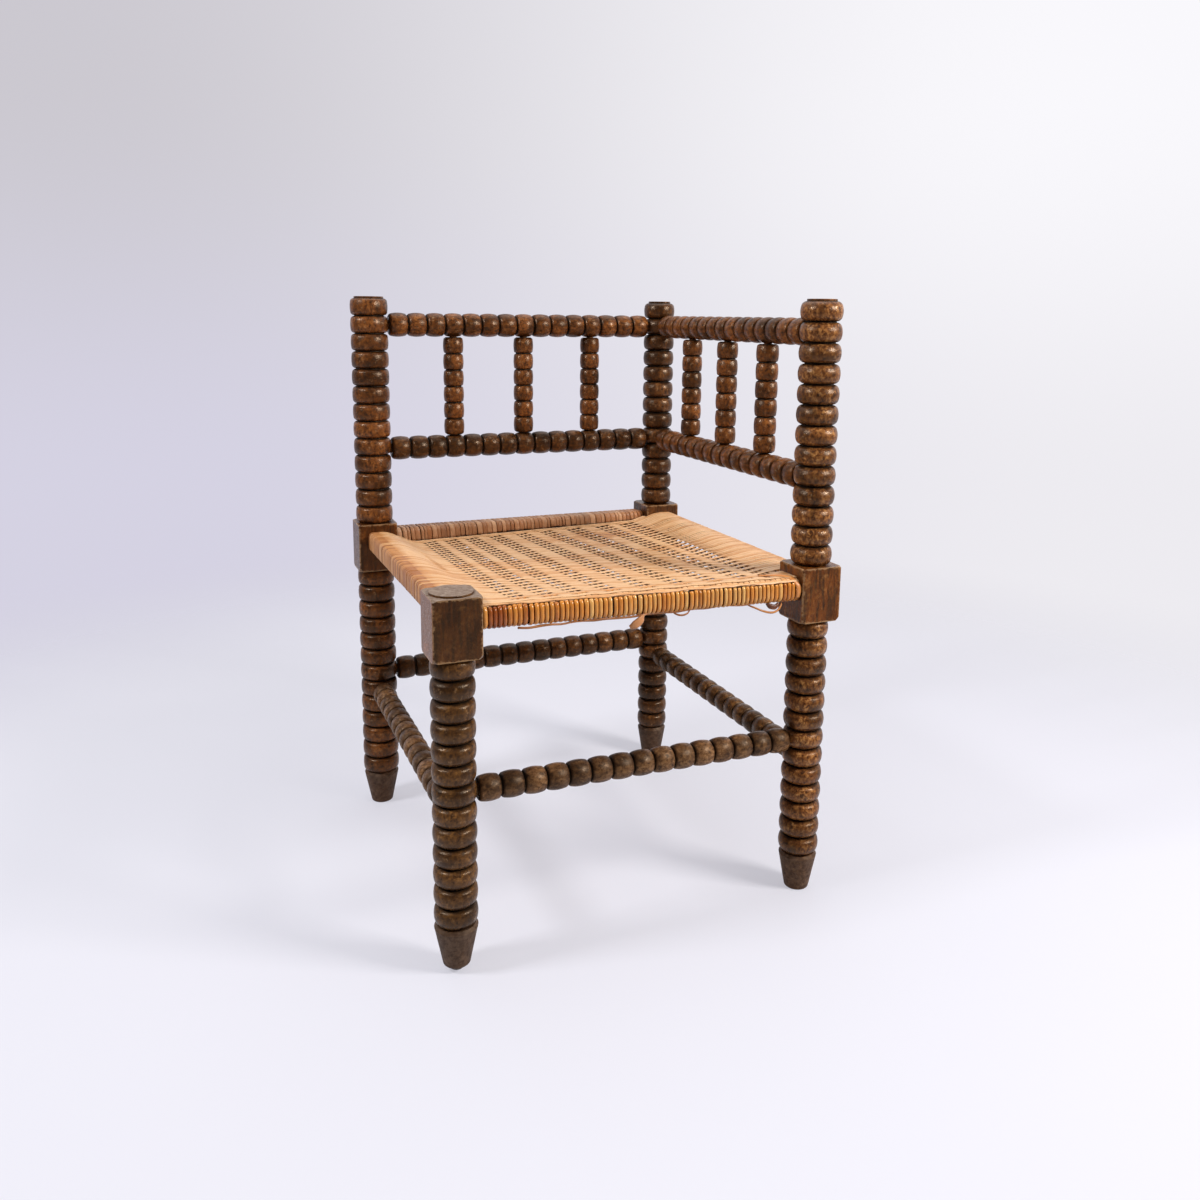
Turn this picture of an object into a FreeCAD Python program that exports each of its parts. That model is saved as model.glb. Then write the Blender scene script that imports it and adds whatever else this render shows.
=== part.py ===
"""Corner chair with bobbin-turned posts, rails and spindles and a cane seat.

Millimetres, +Z up, +X along the front rail, +Y from the front to the back.
The origin is on the floor, at the centre of the square that the four posts make.
Three tall posts stand at the left, in the corner and at the right, and carry the
two back panels. The short post at the front left ends at the seat, and a domed
glide under its foot lifts it, so the rails that enter it rise a little towards it.
"""
import FreeCAD, Part
import math
import os

import Sketcher

# Driving sizes in millimetres, counts and degrees, each written once
SIZES = (
    # Plan of the post axes
    ("post_spacing_x", 430.0),
    ("post_spacing_y", 420.0),
    # Posts, from the floor up
    ("foot_height", 48.0),
    ("foot_end_dia", 29.0),
    ("foot_edge_radius", 2.4),
    ("lower_bead_count", 13),
    ("lower_bead_pitch", 22.8),
    ("block_width", 52.0),
    ("block_height", 65.0),
    ("block_edge_radius", 2.2),
    ("block_trim_low", 9.0),
    ("block_trim_high", 4.0),
    ("block_trim_depth", 3.6),
    ("upper_bead_count", 13),
    ("upper_bead_pitch", 23.3),
    ("cap_height", 2.0),
    ("button_dia", 46.0),
    ("button_height", 2.4),
    ("groove_width", 1.2),
    # Turning of each post: diameter, groove depth and shoulder of its beads, and its foot
    ("left_bead_dia", 49.3),
    ("left_bead_depth", 5.3),
    ("left_bead_shoulder", 4.8),
    ("left_foot_neck_dia", 47.0),
    ("right_bead_dia", 48.2),
    ("right_bead_depth", 7.0),
    ("right_bead_shoulder", 6.2),
    ("right_foot_neck_dia", 45.6),
    ("corner_bead_dia", 45.2),
    ("corner_bead_depth", 6.4),
    ("corner_bead_shoulder", 5.8),
    ("corner_foot_neck_dia", 43.4),
    ("front_bead_dia", 47.2),
    ("front_bead_depth", 6.4),
    ("front_bead_shoulder", 5.8),
    ("front_foot_neck_dia", 47.0),
    # Beads of the rails, stretchers and spindles
    ("rail_bead_count", 15),
    ("rail_bead_dia", 32.4),
    ("stretcher_bead_dia", 29.0),
    ("rail_bead_depth", 4.8),
    ("rail_bead_shoulder", 3.8),
    ("spindle_bead_count", 6),
    ("spindle_bead_dia", 28.0),
    ("spindle_bead_depth", 3.4),
    ("spindle_bead_shoulder", 2.7),
    # The bead, counted from the top or from the block, at which a rail enters, and how far
    # the rail lies under that bead's middle
    ("top_rail_bead", 2),
    ("lower_rail_bead", 9),
    ("lower_rail_drop", 4.5),
    ("high_stretcher_bead", 7),
    ("high_stretcher_drop", 2.2),
    ("low_stretcher_bead", 8),
    ("low_stretcher_drop", 3.8),
    ("spindle_count", 3),
    ("spindle_bead_step", 4),
    # Tenons, spindle pins and their sockets
    ("tenon_dia", 13.0),
    ("tenon_stop", 8.5),
    ("pin_dia", 10.0),
    ("pin_stop", 6.0),
    ("socket_gap", 0.25),
    ("floor_gap", 0.5),
    ("seat_gap", 0.3),
    # Seat rails and the cane around and between them
    ("seat_rail_width", 22.0),
    ("seat_rail_height", 21.0),
    ("seat_rail_edge", 7.0),
    ("seat_rail_drop", 23.5),
    ("front_rail_offset", 7.5),
    ("seat_tenon_width", 11.0),
    ("seat_tenon_height", 15.0),
    ("cane_thickness", 2.7),
    ("web_thickness", 5.0),
    ("web_drop", 2.5),
    ("web_back_drop", 13.0),
    ("web_sag", 8.0),
    ("web_edge_sag", 1.0),
    ("tail_dia", 9.0),
    ("tail_tip_dia", 4.0),
    ("tail_length", 9.0),
    ("first_tail_along", 203.0),
    ("second_tail_along", 365.0),
    # Domed glide under the short post
    ("glide_dia", 19.0),
    ("glide_height", 6.5),
    ("glide_flat_dia", 8.0),
    ("glide_rim", 1.5),
    ("glide_nail_dia", 3.2),
    ("glide_nail_length", 16.0),
    ("glide_nail_gap", 0.1),
)
# A bead is sunk this far into the core that it stands on
BEAD_SEAT = 1.0
# A cut runs this far, clear through the widest post
CUT_REACH = 60.0

# Heights on a post, worked out from its foot
BLOCK_BOTTOM = "({foot_height} + {lower_bead_count} * {lower_bead_pitch})"
BLOCK_TOP = "(" + BLOCK_BOTTOM + " + {block_height})"
BLOCK_HALF = "({block_width} / 2)"
# Beads are counted down from these heights, half a bead over each row
UPPER_COUNT = "(" + BLOCK_TOP + " + ({upper_bead_count} + 0.5) * {upper_bead_pitch})"
TOP_RAIL = "(" + UPPER_COUNT + " - {top_rail_bead} * {upper_bead_pitch})"
LOWER_RAIL = "(" + UPPER_COUNT + " - {lower_rail_bead} * {upper_bead_pitch} - {lower_rail_drop})"
LOWER_COUNT = "(" + BLOCK_BOTTOM + " + {lower_bead_pitch} / 2)"
HIGH_STRETCHER = "(" + LOWER_COUNT + " - {high_stretcher_bead} * {lower_bead_pitch} - {high_stretcher_drop})"
LOW_STRETCHER = "(" + LOWER_COUNT + " - {low_stretcher_bead} * {lower_bead_pitch} - {low_stretcher_drop})"
SEAT_RAIL = "(" + BLOCK_TOP + " - {seat_rail_drop})"
# Outline of a seat rail with its cane
WRAP_WIDTH = "({seat_rail_width} + 2 * {cane_thickness})"
WRAP_HEIGHT = "({seat_rail_height} + 2 * {cane_thickness})"

document = FreeCAD.newDocument("CornerChair")
sheet = document.addObject("Spreadsheet::Sheet", "Sizes")
for row, (size_name, size_value) in enumerate(SIZES, start=1):
    sheet.set("A%d" % row, size_name)
    sheet.set("B%d" % row, str(size_value))
    sheet.setAlias("B%d" % row, size_name)
document.recompute()

subparts = []


def cells(formula):
    """Return a formula with its words in braces turned into cells of the sheet."""
    return formula.replace("{", "Sizes.").replace("}", "")


def worked(formula):
    """Return the number that a formula gives with the sizes as they are."""
    return float(sheet.evalExpression(cells(formula)))


def bind(thing, prop, formula):
    """Tie one property of an object to a formula in the sheet's words."""
    thing.setExpression(prop, cells(formula))


def fix(sketch, kind, places, formula):
    """Add a dimension to a sketch and tie it to a formula."""
    index = sketch.addConstraint(Sketcher.Constraint(kind, *places, worked(formula)))
    bind(sketch, "Constraints[%d]" % index, formula)


def new_body(label):
    """Start a sub-part as a body of its own."""
    body = document.addObject("PartDesign::Body", label)
    body.Label = label
    subparts.append(body)
    return body


def origin_feature(body, role):
    """Return the origin plane or axis of a body that has the role."""
    return next(item for item in body.Origin.OriginFeatures if item.Role == role)


def new_sketch(body, name, role, across=None, along=None, out=None):
    """Attach a sketch to an origin plane, moved in the plane and out of it."""
    sketch = body.newObject("Sketcher::SketchObject", body.Name + "_" + name)
    sketch.AttachmentSupport = [(origin_feature(body, role), "")]
    sketch.MapMode = "FlatFace"
    for axis, formula in (("x", across), ("y", along), ("z", out)):
        if formula:
            bind(sketch, "AttachmentOffset.Base." + axis, formula)
    return sketch


def circle(sketch, diameter):
    """Draw a circle about the sketch's origin."""
    centre = FreeCAD.Vector(0, 0, 0)
    upright = FreeCAD.Vector(0, 0, 1)
    sketch.addGeometry(Part.Circle(centre, upright, worked(diameter) / 2), False)
    sketch.addConstraint(Sketcher.Constraint("Coincident", 0, 3, -1, 1))
    fix(sketch, "Diameter", (0,), diameter)


def rectangle(sketch, width, height):
    """Draw a rectangle centred on the sketch's origin."""
    half_w = worked(width) / 2
    half_h = worked(height) / 2
    corners = [
        FreeCAD.Vector(x * half_w, y * half_h, 0) for x, y in ((-1, -1), (1, -1), (1, 1), (-1, 1))
    ]
    for i in range(4):
        sketch.addGeometry(Part.LineSegment(corners[i], corners[(i + 1) % 4]), False)
    for i in range(4):
        sketch.addConstraint(Sketcher.Constraint("Coincident", i, 2, (i + 1) % 4, 1))
        sketch.addConstraint(Sketcher.Constraint("Vertical" if i % 2 else "Horizontal", i))
    sketch.addConstraint(Sketcher.Constraint("Symmetric", 0, 1, 2, 1, -1, 1))
    fix(sketch, "DistanceX", (0, 1, 0, 2), width)
    fix(sketch, "DistanceY", (1, 1, 1, 2), height)


def rounded_rectangle(sketch, width, height, radius):
    """Draw a rectangle with round corners, centred on the sketch's origin."""
    first = sketch.GeometryCount
    half_w = worked(width) / 2
    half_h = worked(height) / 2
    r = worked(radius)
    upright = FreeCAD.Vector(0, 0, 1)
    inner_w = half_w - r
    inner_h = half_h - r
    sides = (
        ((-inner_w, -half_h), (inner_w, -half_h)),
        ((half_w, -inner_h), (half_w, inner_h)),
        ((inner_w, half_h), (-inner_w, half_h)),
        ((-half_w, inner_h), (-half_w, -inner_h)),
    )
    centres = ((inner_w, -inner_h), (inner_w, inner_h), (-inner_w, inner_h), (-inner_w, -inner_h))
    for i in range(4):
        start, end = (FreeCAD.Vector(x, y, 0) for x, y in sides[i])
        sketch.addGeometry(Part.LineSegment(start, end), False)
        round_corner = Part.Circle(FreeCAD.Vector(*centres[i], 0), upright, r)
        start_angle = (i - 1) * math.pi / 2
        arc = Part.ArcOfCircle(round_corner, start_angle, start_angle + math.pi / 2)
        sketch.addGeometry(arc, False)
    for i in range(4):
        side = first + 2 * i
        corner = side + 1
        following = first + (2 * i + 2) % 8
        sketch.addConstraint(Sketcher.Constraint("Tangent", side, 2, corner, 1))
        sketch.addConstraint(Sketcher.Constraint("Tangent", corner, 2, following, 1))
        sketch.addConstraint(Sketcher.Constraint("Vertical" if i % 2 else "Horizontal", side))
        if i:
            sketch.addConstraint(Sketcher.Constraint("Equal", first + 1, corner))
    sketch.addConstraint(Sketcher.Constraint("Symmetric", first + 1, 3, first + 5, 3, -1, 1))
    fix(sketch, "Radius", (first + 1,), radius)
    fix(sketch, "DistanceY", (first, 1, first + 4, 2), height)
    fix(sketch, "DistanceX", (first + 6, 1, first + 2, 1), width)


def polygon(sketch, points):
    """Draw a closed outline through points given as pairs of formulas.

    A zero coordinate is written "0" and lies on the sketch's own axis.
    """
    places = [FreeCAD.Vector(worked(x), worked(y), 0) for x, y in points]
    count = len(points)
    for i in range(count):
        sketch.addGeometry(Part.LineSegment(places[i], places[(i + 1) % count]), False)
    for i in range(count):
        sketch.addConstraint(Sketcher.Constraint("Coincident", i, 2, (i + 1) % count, 1))
    for i, (x, y) in enumerate(points):
        if x == "0":
            sketch.addConstraint(Sketcher.Constraint("PointOnObject", i, 1, -2))
        else:
            fix(sketch, "DistanceX", (-1, 1, i, 1), x)
        if y == "0":
            sketch.addConstraint(Sketcher.Constraint("PointOnObject", i, 1, -1))
        else:
            fix(sketch, "DistanceY", (-1, 1, i, 1), y)


def pad(sketch, name, length):
    """Pad a sketch along its normal."""
    body = sketch.getParentGeoFeatureGroup()
    feature = body.newObject("PartDesign::Pad", body.Name + "_" + name)
    feature.Profile = sketch
    bind(feature, "Length", length)


def pocket(sketch, name, length, with_normal):
    """Cut a sketch into the body, along its normal or against it."""
    body = sketch.getParentGeoFeatureGroup()
    feature = body.newObject("PartDesign::Pocket", body.Name + "_" + name)
    feature.Profile = sketch
    feature.Reversed = with_normal
    bind(feature, "Length", length)
    return feature


def turn(sketch, name, kind="PartDesign::Revolution"):
    """Turn a sketch about its upright axis, adding wood or grooving it."""
    body = sketch.getParentGeoFeatureGroup()
    feature = body.newObject(kind, body.Name + "_" + name)
    feature.Profile = sketch
    feature.ReferenceAxis = (sketch, ["V_Axis"])
    feature.Angle = 360.0
    return feature


def repeat_along(feature, name, spacing, count):
    """Repeat a feature along the body's own Z axis."""
    body = feature.getParentGeoFeatureGroup()
    pattern = body.newObject("PartDesign::LinearPattern", body.Name + "_" + name)
    pattern.Originals = [feature]
    pattern.Direction = (origin_feature(body, "Z_Axis"), [""])
    pattern.Mode = "Spacing"
    bind(pattern, "Offset", spacing)
    bind(pattern, "Occurrences", count)
    body.Tip = pattern


def bead_outline(sketch, diameter, depth, shoulder, pitch):
    """Draw half a bead: a belly between two round shoulders that drop to the grooves."""
    upright = FreeCAD.Vector(0, 0, 1)
    groove_radius = "(" + diameter + " / 2 - " + depth + ")"
    height = "(" + pitch + " - {groove_width})"
    r_groove = worked(groove_radius)
    r_bead = worked(diameter) / 2
    d = worked(depth)
    s = worked(shoulder)
    half = worked(height) / 2
    # The belly's radius, from its touching both shoulders inside
    belly = (s * s - d * d - (half - s) ** 2) / (2 * (s - d))
    lean = math.atan2(half - s, belly - d)
    inner = r_groove - BEAD_SEAT
    low = Part.Circle(FreeCAD.Vector(r_groove, s - half, 0), upright, s)
    middle = Part.Circle(FreeCAD.Vector(r_bead - belly, 0, 0), upright, belly)
    high = Part.Circle(FreeCAD.Vector(r_groove, half - s, 0), upright, s)
    quarter = math.pi / 2
    sketch.addGeometry(
        [
            Part.LineSegment(FreeCAD.Vector(inner, half, 0), FreeCAD.Vector(inner, -half, 0)),
            Part.LineSegment(FreeCAD.Vector(inner, -half, 0), FreeCAD.Vector(r_groove, -half, 0)),
            Part.ArcOfCircle(low, -quarter, -lean),
            Part.ArcOfCircle(middle, -lean, lean),
            Part.ArcOfCircle(high, lean, quarter),
            Part.LineSegment(FreeCAD.Vector(r_groove, half, 0), FreeCAD.Vector(inner, half, 0)),
        ],
        False,
    )
    sketch.addGeometry(Part.Point(FreeCAD.Vector(r_bead, 0, 0)), True)
    for rule in (
        ("Coincident", 0, 2, 1, 1),
        ("Coincident", 1, 2, 2, 1),
        ("Tangent", 2, 2, 3, 1),
        ("Tangent", 3, 2, 4, 1),
        ("Coincident", 4, 2, 5, 1),
        ("Coincident", 5, 2, 0, 1),
        ("Horizontal", 1),
        ("Horizontal", 5),
        ("Equal", 2, 4),
        ("Vertical", 2, 3, 2, 1),
        ("Vertical", 4, 3, 4, 2),
        ("Symmetric", 0, 1, 0, 2, -1),
        ("PointOnObject", 3, 3, -1),
        ("PointOnObject", 6, 1, -1),
        ("PointOnObject", 6, 1, 3),
    ):
        sketch.addConstraint(Sketcher.Constraint(*rule))
    fix(sketch, "Radius", (2,), shoulder)
    fix(sketch, "DistanceY", (0, 2, 0, 1), height)
    fix(sketch, "DistanceX", (-1, 1, 1, 2), groove_radius)
    fix(sketch, "DistanceX", (1, 1, 1, 2), str(BEAD_SEAT))
    fix(sketch, "DistanceX", (-1, 1, 6, 1), diameter + " / 2")


def bead_row(body, name, bead, pitch, count, start):
    """Turn one bead and repeat it along the body, from the height where the row starts."""
    diameter, depth, shoulder = bead
    centre = start + " + (" + pitch + ") / 2"
    outline = new_sketch(body, name + "_outline", "XZ_Plane", along=centre)
    bead_outline(outline, diameter, depth, shoulder, "(" + pitch + ")")
    first = turn(outline, name + "_first")
    repeat_along(first, name, pitch, count)


# Directions in which a rail leaves a post: the plane across it, and its sign along the normal
SIDES = {
    "+X": ("YZ_Plane", 1),
    "-X": ("YZ_Plane", -1),
    "+Y": ("XZ_Plane", -1),
    "-Y": ("XZ_Plane", 1),
}


def socket_sketch(body, name, side, height, stop, across=None):
    """Start the sketch of a socket whose floor stands off the body's axis."""
    plane, sign = SIDES[side]
    floor = "(" + stop + " - {floor_gap})"
    return new_sketch(
        body, name, plane, across=across, along=height, out=floor if sign > 0 else "-" + floor
    )


def round_socket(body, name, side, height, stop, diameter):
    """Drill a socket for a round tenon from beside the axis out through the side."""
    sketch = socket_sketch(body, name + "_outline", side, height, stop)
    circle(sketch, "(" + diameter + " + 2 * {socket_gap})")
    return pocket(sketch, name, str(CUT_REACH), SIDES[side][1] > 0)


def square_socket(body, name, side, height, across):
    """Cut the mortise of a seat rail from beside the axis out through the block."""
    sketch = socket_sketch(body, name + "_outline", side, height, "{tenon_stop}", across)
    rectangle(
        sketch, "({seat_tenon_width} + 2 * {socket_gap})", "({seat_tenon_height} + 2 * {socket_gap})"
    )
    pocket(sketch, name, str(CUT_REACH), SIDES[side][1] > 0)


def edges_where(feature, test):
    """Name the edges of a feature whose bounding box passes a test."""
    found = []
    for number, edge in enumerate(feature.Shape.Edges, start=1):
        if test(edge.BoundBox):
            found.append("Edge%d" % number)
    return found


def round_edges(body, name, test, radius):
    """Fillet the edges of the body's last feature that pass a test."""
    document.recompute()
    base = body.Tip
    feature = body.newObject("PartDesign::Fillet", body.Name + "_" + name)
    feature.Base = (base, edges_where(base, test))
    bind(feature, "Radius", radius)


def tilt(spacing, reach):
    """Height by which a rail that rises to the short post has left its socket's level."""
    return "({glide_height} / " + spacing + " * (" + reach + " + {tenon_stop}) / 2)"


def build_post(name, tall):
    """Turn a post: foot, lower beads, square block and, on a tall post, upper beads."""
    body = new_body(name + "_post")
    bead = tuple("{" + name + "_bead_" + word + "}" for word in ("dia", "depth", "shoulder"))
    groove_dia = "(" + bead[0] + " - 2 * " + bead[1] + ")"
    top = BLOCK_TOP
    if tall:
        top = "(" + BLOCK_TOP + " + {upper_bead_count} * {upper_bead_pitch} + {cap_height})"

    core = new_sketch(body, "core_outline", "XY_Plane", out="{foot_height} - {foot_edge_radius}")
    circle(core, groove_dia)
    pad(core, "core", top + " - {foot_height} + {foot_edge_radius}")

    foot = new_sketch(body, "foot_outline", "XZ_Plane")
    neck = "({" + name + "_foot_neck_dia} / 2)"
    shoulder_height = "({foot_height} - {groove_width} / 2)"
    polygon(
        foot,
        (
            ("0", "0"),
            ("{foot_end_dia} / 2", "0"),
            (neck, shoulder_height + " - {foot_edge_radius} * 1.5"),
            (neck + " - {foot_edge_radius}", shoulder_height),
            ("0", shoulder_height),
        ),
    )
    turn(foot, "foot")

    bead_row(body, "lower_beads", bead, "{lower_bead_pitch}", "{lower_bead_count}", "{foot_height}")

    block = new_sketch(body, "block_outline", "XY_Plane", out=BLOCK_BOTTOM)
    rounded_rectangle(block, "{block_width}", "{block_width}", "{block_edge_radius}")
    pad(block, "block", "{block_height}")

    # The gouge takes the square's corners off where the block meets the turning
    corner_reach = BLOCK_HALF + " * sqrt(2)"
    trimmed = "(" + corner_reach + " - {block_trim_depth})"
    outer = "(" + corner_reach + " + {block_edge_radius})"
    low_trim = new_sketch(body, "low_trim_outline", "XZ_Plane", along=BLOCK_BOTTOM)
    polygon(low_trim, ((trimmed, "0"), (outer, "0"), (outer, "{block_trim_low}")))
    turn(low_trim, "low_trim", "PartDesign::Groove")
    high_trim = new_sketch(
        body, "high_trim_outline", "XZ_Plane", along=BLOCK_TOP + " - {block_trim_high}"
    )
    polygon(
        high_trim, ((outer, "0"), (outer, "{block_trim_high}"), (trimmed, "{block_trim_high}"))
    )
    turn(high_trim, "high_trim", "PartDesign::Groove")

    if tall:
        bead_row(
            body, "upper_beads", bead, "{upper_bead_pitch}", "{upper_bead_count}", BLOCK_TOP
        )
        end_height = worked(top)
    else:
        button = new_sketch(body, "button_outline", "XY_Plane", out=BLOCK_TOP)
        circle(button, "{button_dia}")
        pad(button, "button", "{button_height}")
        end_height = worked(BLOCK_TOP + " + {button_height}")
    round_edges(
        body,
        "end_edge",
        lambda box: box.ZMin > end_height - 0.01 and box.ZLength < 0.01,
        "{cap_height} / 3",
    )
    round_edges(
        body,
        "foot_edge",
        lambda box: box.ZMax < 0.01,
        "{foot_edge_radius}",
    )
    return body


def place(body, x, y, z, direction=None):
    """Put a sub-part at formulas for x, y and z, with its Z axis along a direction.

    None stands for a coordinate of zero. A piece that lies down has its own X axis upward.
    """
    if direction:
        along = FreeCAD.Vector(*direction).normalize()
        level = FreeCAD.Vector(0, 0, 1).cross(along).normalize()
        upward = along.cross(level)
        body.Placement.Rotation = FreeCAD.Rotation(upward, level, along, "ZXY")
    for axis, formula in (("x", x), ("y", y), ("z", z)):
        if formula:
            bind(body, "Placement.Base." + axis, formula)


def build_beaded_rail(name, bead_dia, span, start_bead, end_bead):
    """Turn a beaded rail with a round tenon at each end, along its own Z axis."""
    body = new_body(name)
    bead = (bead_dia, "{rail_bead_depth}", "{rail_bead_shoulder}")
    start = "(" + start_bead + " / 2 + {seat_gap})"
    end = "(" + end_bead + " / 2 + {seat_gap})"
    length = "(" + span + " - " + start + " - " + end + ")"
    pitch = "(" + length + " / {rail_bead_count})"

    core = new_sketch(body, "core_outline", "XY_Plane", out=start)
    circle(core, "(" + bead_dia + " - 2 * {rail_bead_depth})")
    pad(core, "core", length)
    tenon = new_sketch(body, "tenon_outline", "XY_Plane", out="{tenon_stop}")
    circle(tenon, "{tenon_dia}")
    pad(tenon, "tenon", span + " - 2 * {tenon_stop}")
    bead_row(body, "beads", bead, pitch, "{rail_bead_count}", start)
    return body, start, pitch


def drill_for_spindles(body, side, start, pitch):
    """Drill the row of spindle sockets in one side of a back panel's rail."""
    first = start + " + ({spindle_bead_step} - 0.5) * " + pitch
    hole = round_socket(body, "spindle_socket", side, first, "{pin_stop}", "{pin_dia}")
    repeat_along(hole, "spindle_sockets", "{spindle_bead_step} * " + pitch, "{spindle_count}")


def build_spindle(name):
    """Turn a beaded spindle with a round pin at each end."""
    body = new_body(name)
    bead = ("{spindle_bead_dia}", "{spindle_bead_depth}", "{spindle_bead_shoulder}")
    span = "(" + TOP_RAIL + " - " + LOWER_RAIL + ")"
    start = "({rail_bead_dia} / 2 + {seat_gap})"
    length = "(" + span + " - 2 * " + start + ")"
    core = new_sketch(body, "core_outline", "XY_Plane", out=start)
    circle(core, "({spindle_bead_dia} - 2 * {spindle_bead_depth})")
    pad(core, "core", length)
    pin = new_sketch(body, "pin_outline", "XY_Plane", out="{pin_stop}")
    circle(pin, "{pin_dia}")
    pad(pin, "pin", span + " - 2 * {pin_stop}")
    bead_row(
        body, "beads", bead, "(" + length + " / {spindle_bead_count})", "{spindle_bead_count}", start
    )
    return body


def build_seat_rail(name, span):
    """Shape a seat rail with rounded edges and a rectangular tenon at each end."""
    body = new_body(name)
    shoulder = "(" + BLOCK_HALF + " + {seat_gap})"
    bar = new_sketch(body, "bar_outline", "XY_Plane", out=shoulder)
    rounded_rectangle(bar, "{seat_rail_height}", "{seat_rail_width}", "{seat_rail_edge}")
    pad(bar, "bar", span + " - 2 * " + shoulder)
    tenon = new_sketch(body, "tenon_outline", "XY_Plane", out="{tenon_stop}")
    rectangle(tenon, "{seat_tenon_height}", "{seat_tenon_width}")
    pad(tenon, "tenon", span + " - 2 * {tenon_stop}")
    return body


def build_wrap(name, span):
    """Make the sleeve of cane that is wound around one seat rail between the blocks."""
    body = new_body(name)
    end = "(" + BLOCK_HALF + " + 2 * {seat_gap})"
    sleeve = new_sketch(body, "sleeve_outline", "XY_Plane", out=end)
    rounded_rectangle(sleeve, WRAP_HEIGHT, WRAP_WIDTH, "({seat_rail_edge} + {cane_thickness})")
    rounded_rectangle(
        sleeve,
        "({seat_rail_height} + 2 * {seat_gap})",
        "({seat_rail_width} + 2 * {seat_gap})",
        "({seat_rail_edge} + {seat_gap})",
    )
    pad(sleeve, "sleeve", span + " - 2 * " + end)
    return body


def build_web():
    """Loft the woven seat as a thin panel that sags between the four wrapped rails.

    Beside the left and the right rail it lies near their tops. In between it has worn down
    the back rail's inner side.
    """
    body = new_body("cane_web")
    reach_x = "({post_spacing_x} / 2 - " + WRAP_WIDTH + " / 2 - {seat_gap})"
    front = "({post_spacing_y} / 2 + {front_rail_offset} - " + WRAP_WIDTH + " / 2 - {seat_gap})"
    back = "({post_spacing_y} / 2 - " + WRAP_WIDTH + " / 2 - {seat_gap})"
    depth = "(" + front + " + " + back + ")"
    worn_rise = "({glide_height} / 2 + {web_back_drop} - {web_drop})"
    sections = []
    for word, out, back_drop, rise, sag in (
        ("left", "-" + reach_x, "{web_drop}", "{glide_height}", "{web_edge_sag}"),
        ("middle", None, "{web_back_drop}", worn_rise, "{web_sag}"),
        ("right", reach_x, "{web_drop}", "0", "{web_edge_sag}"),
    ):
        underside = "(" + WRAP_HEIGHT + " / 2 - " + back_drop + " - {web_thickness})"
        section = new_sketch(
            body, word + "_section", "YZ_Plane", across="-" + front, along=underside, out=out
        )
        web_section(section, depth, rise, sag)
        sections.append(section)
    web = body.newObject("PartDesign::AdditiveLoft", "cane_web_loft")
    web.Profile = sections[0]
    web.Sections = sections[1:]
    web.Ruled = False

    for word, x_sign, y_sign in (
        ("front", "-", "-"),
        ("right", "", "-"),
        ("corner", "", ""),
        ("left", "-", ""),
    ):
        notch = new_sketch(
            body,
            word + "_notch_outline",
            "XY_Plane",
            across=x_sign + "{post_spacing_x} / 2",
            along=y_sign + "{post_spacing_y} / 2",
            out="-" + str(CUT_REACH) + " / 2",
        )
        side = "({block_width} + 2 * {seat_gap})"
        rectangle(notch, side, side)
        pocket(notch, word + "_notch", str(CUT_REACH), True)
    return body


def web_section(sketch, depth, rise, sag):
    """Draw one cross-section of the web: two sagging arcs and its short front and back edges."""
    upright = FreeCAD.Vector(0, 0, 1)
    d = worked(depth)
    lift = worked(rise)
    t = worked("{web_thickness}")
    radius = "(" + depth + " ^ 2 / (8 * " + sag + ") + " + sag + " / 2)"
    r = worked(radius)
    chord = math.hypot(d, lift)
    slope = math.atan2(-lift, d)
    half_angle = math.asin(chord / (2 * r))
    down = -math.pi / 2 + slope
    rise_to_centre = r * math.cos(half_angle)
    middle = FreeCAD.Vector(d / 2, lift / 2, 0)
    normal = FreeCAD.Vector(-math.sin(slope), math.cos(slope), 0)
    bottom_centre = middle + normal * rise_to_centre
    top_centre = bottom_centre + FreeCAD.Vector(0, t, 0)
    sketch.addGeometry(
        [
            Part.ArcOfCircle(
                Part.Circle(bottom_centre, upright, r), down - half_angle, down + half_angle
            ),
            Part.LineSegment(FreeCAD.Vector(d, 0, 0), FreeCAD.Vector(d, t, 0)),
            Part.ArcOfCircle(
                Part.Circle(top_centre, upright, r), down - half_angle, down + half_angle
            ),
            Part.LineSegment(FreeCAD.Vector(0, lift + t, 0), FreeCAD.Vector(0, lift, 0)),
        ],
        False,
    )
    for rule in (
        ("Coincident", 0, 2, 1, 1),
        ("Coincident", 1, 2, 2, 2),
        ("Coincident", 2, 1, 3, 1),
        ("Coincident", 3, 2, 0, 1),
        ("PointOnObject", 3, 2, -2),
        ("PointOnObject", 1, 1, -1),
        ("Vertical", 1),
        ("Vertical", 3),
        ("Equal", 0, 2),
    ):
        sketch.addConstraint(Sketcher.Constraint(*rule))
    fix(sketch, "DistanceX", (-1, 1, 1, 1), depth)
    fix(sketch, "DistanceY", (1, 1, 1, 2), "{web_thickness}")
    fix(sketch, "DistanceY", (3, 2, 3, 1), "{web_thickness}")
    if rise == "0":
        sketch.addConstraint(Sketcher.Constraint("PointOnObject", 3, 2, -1))
    else:
        fix(sketch, "DistanceY", (-1, 1, 3, 2), rise)
    fix(sketch, "Radius", (0,), radius)


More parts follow.
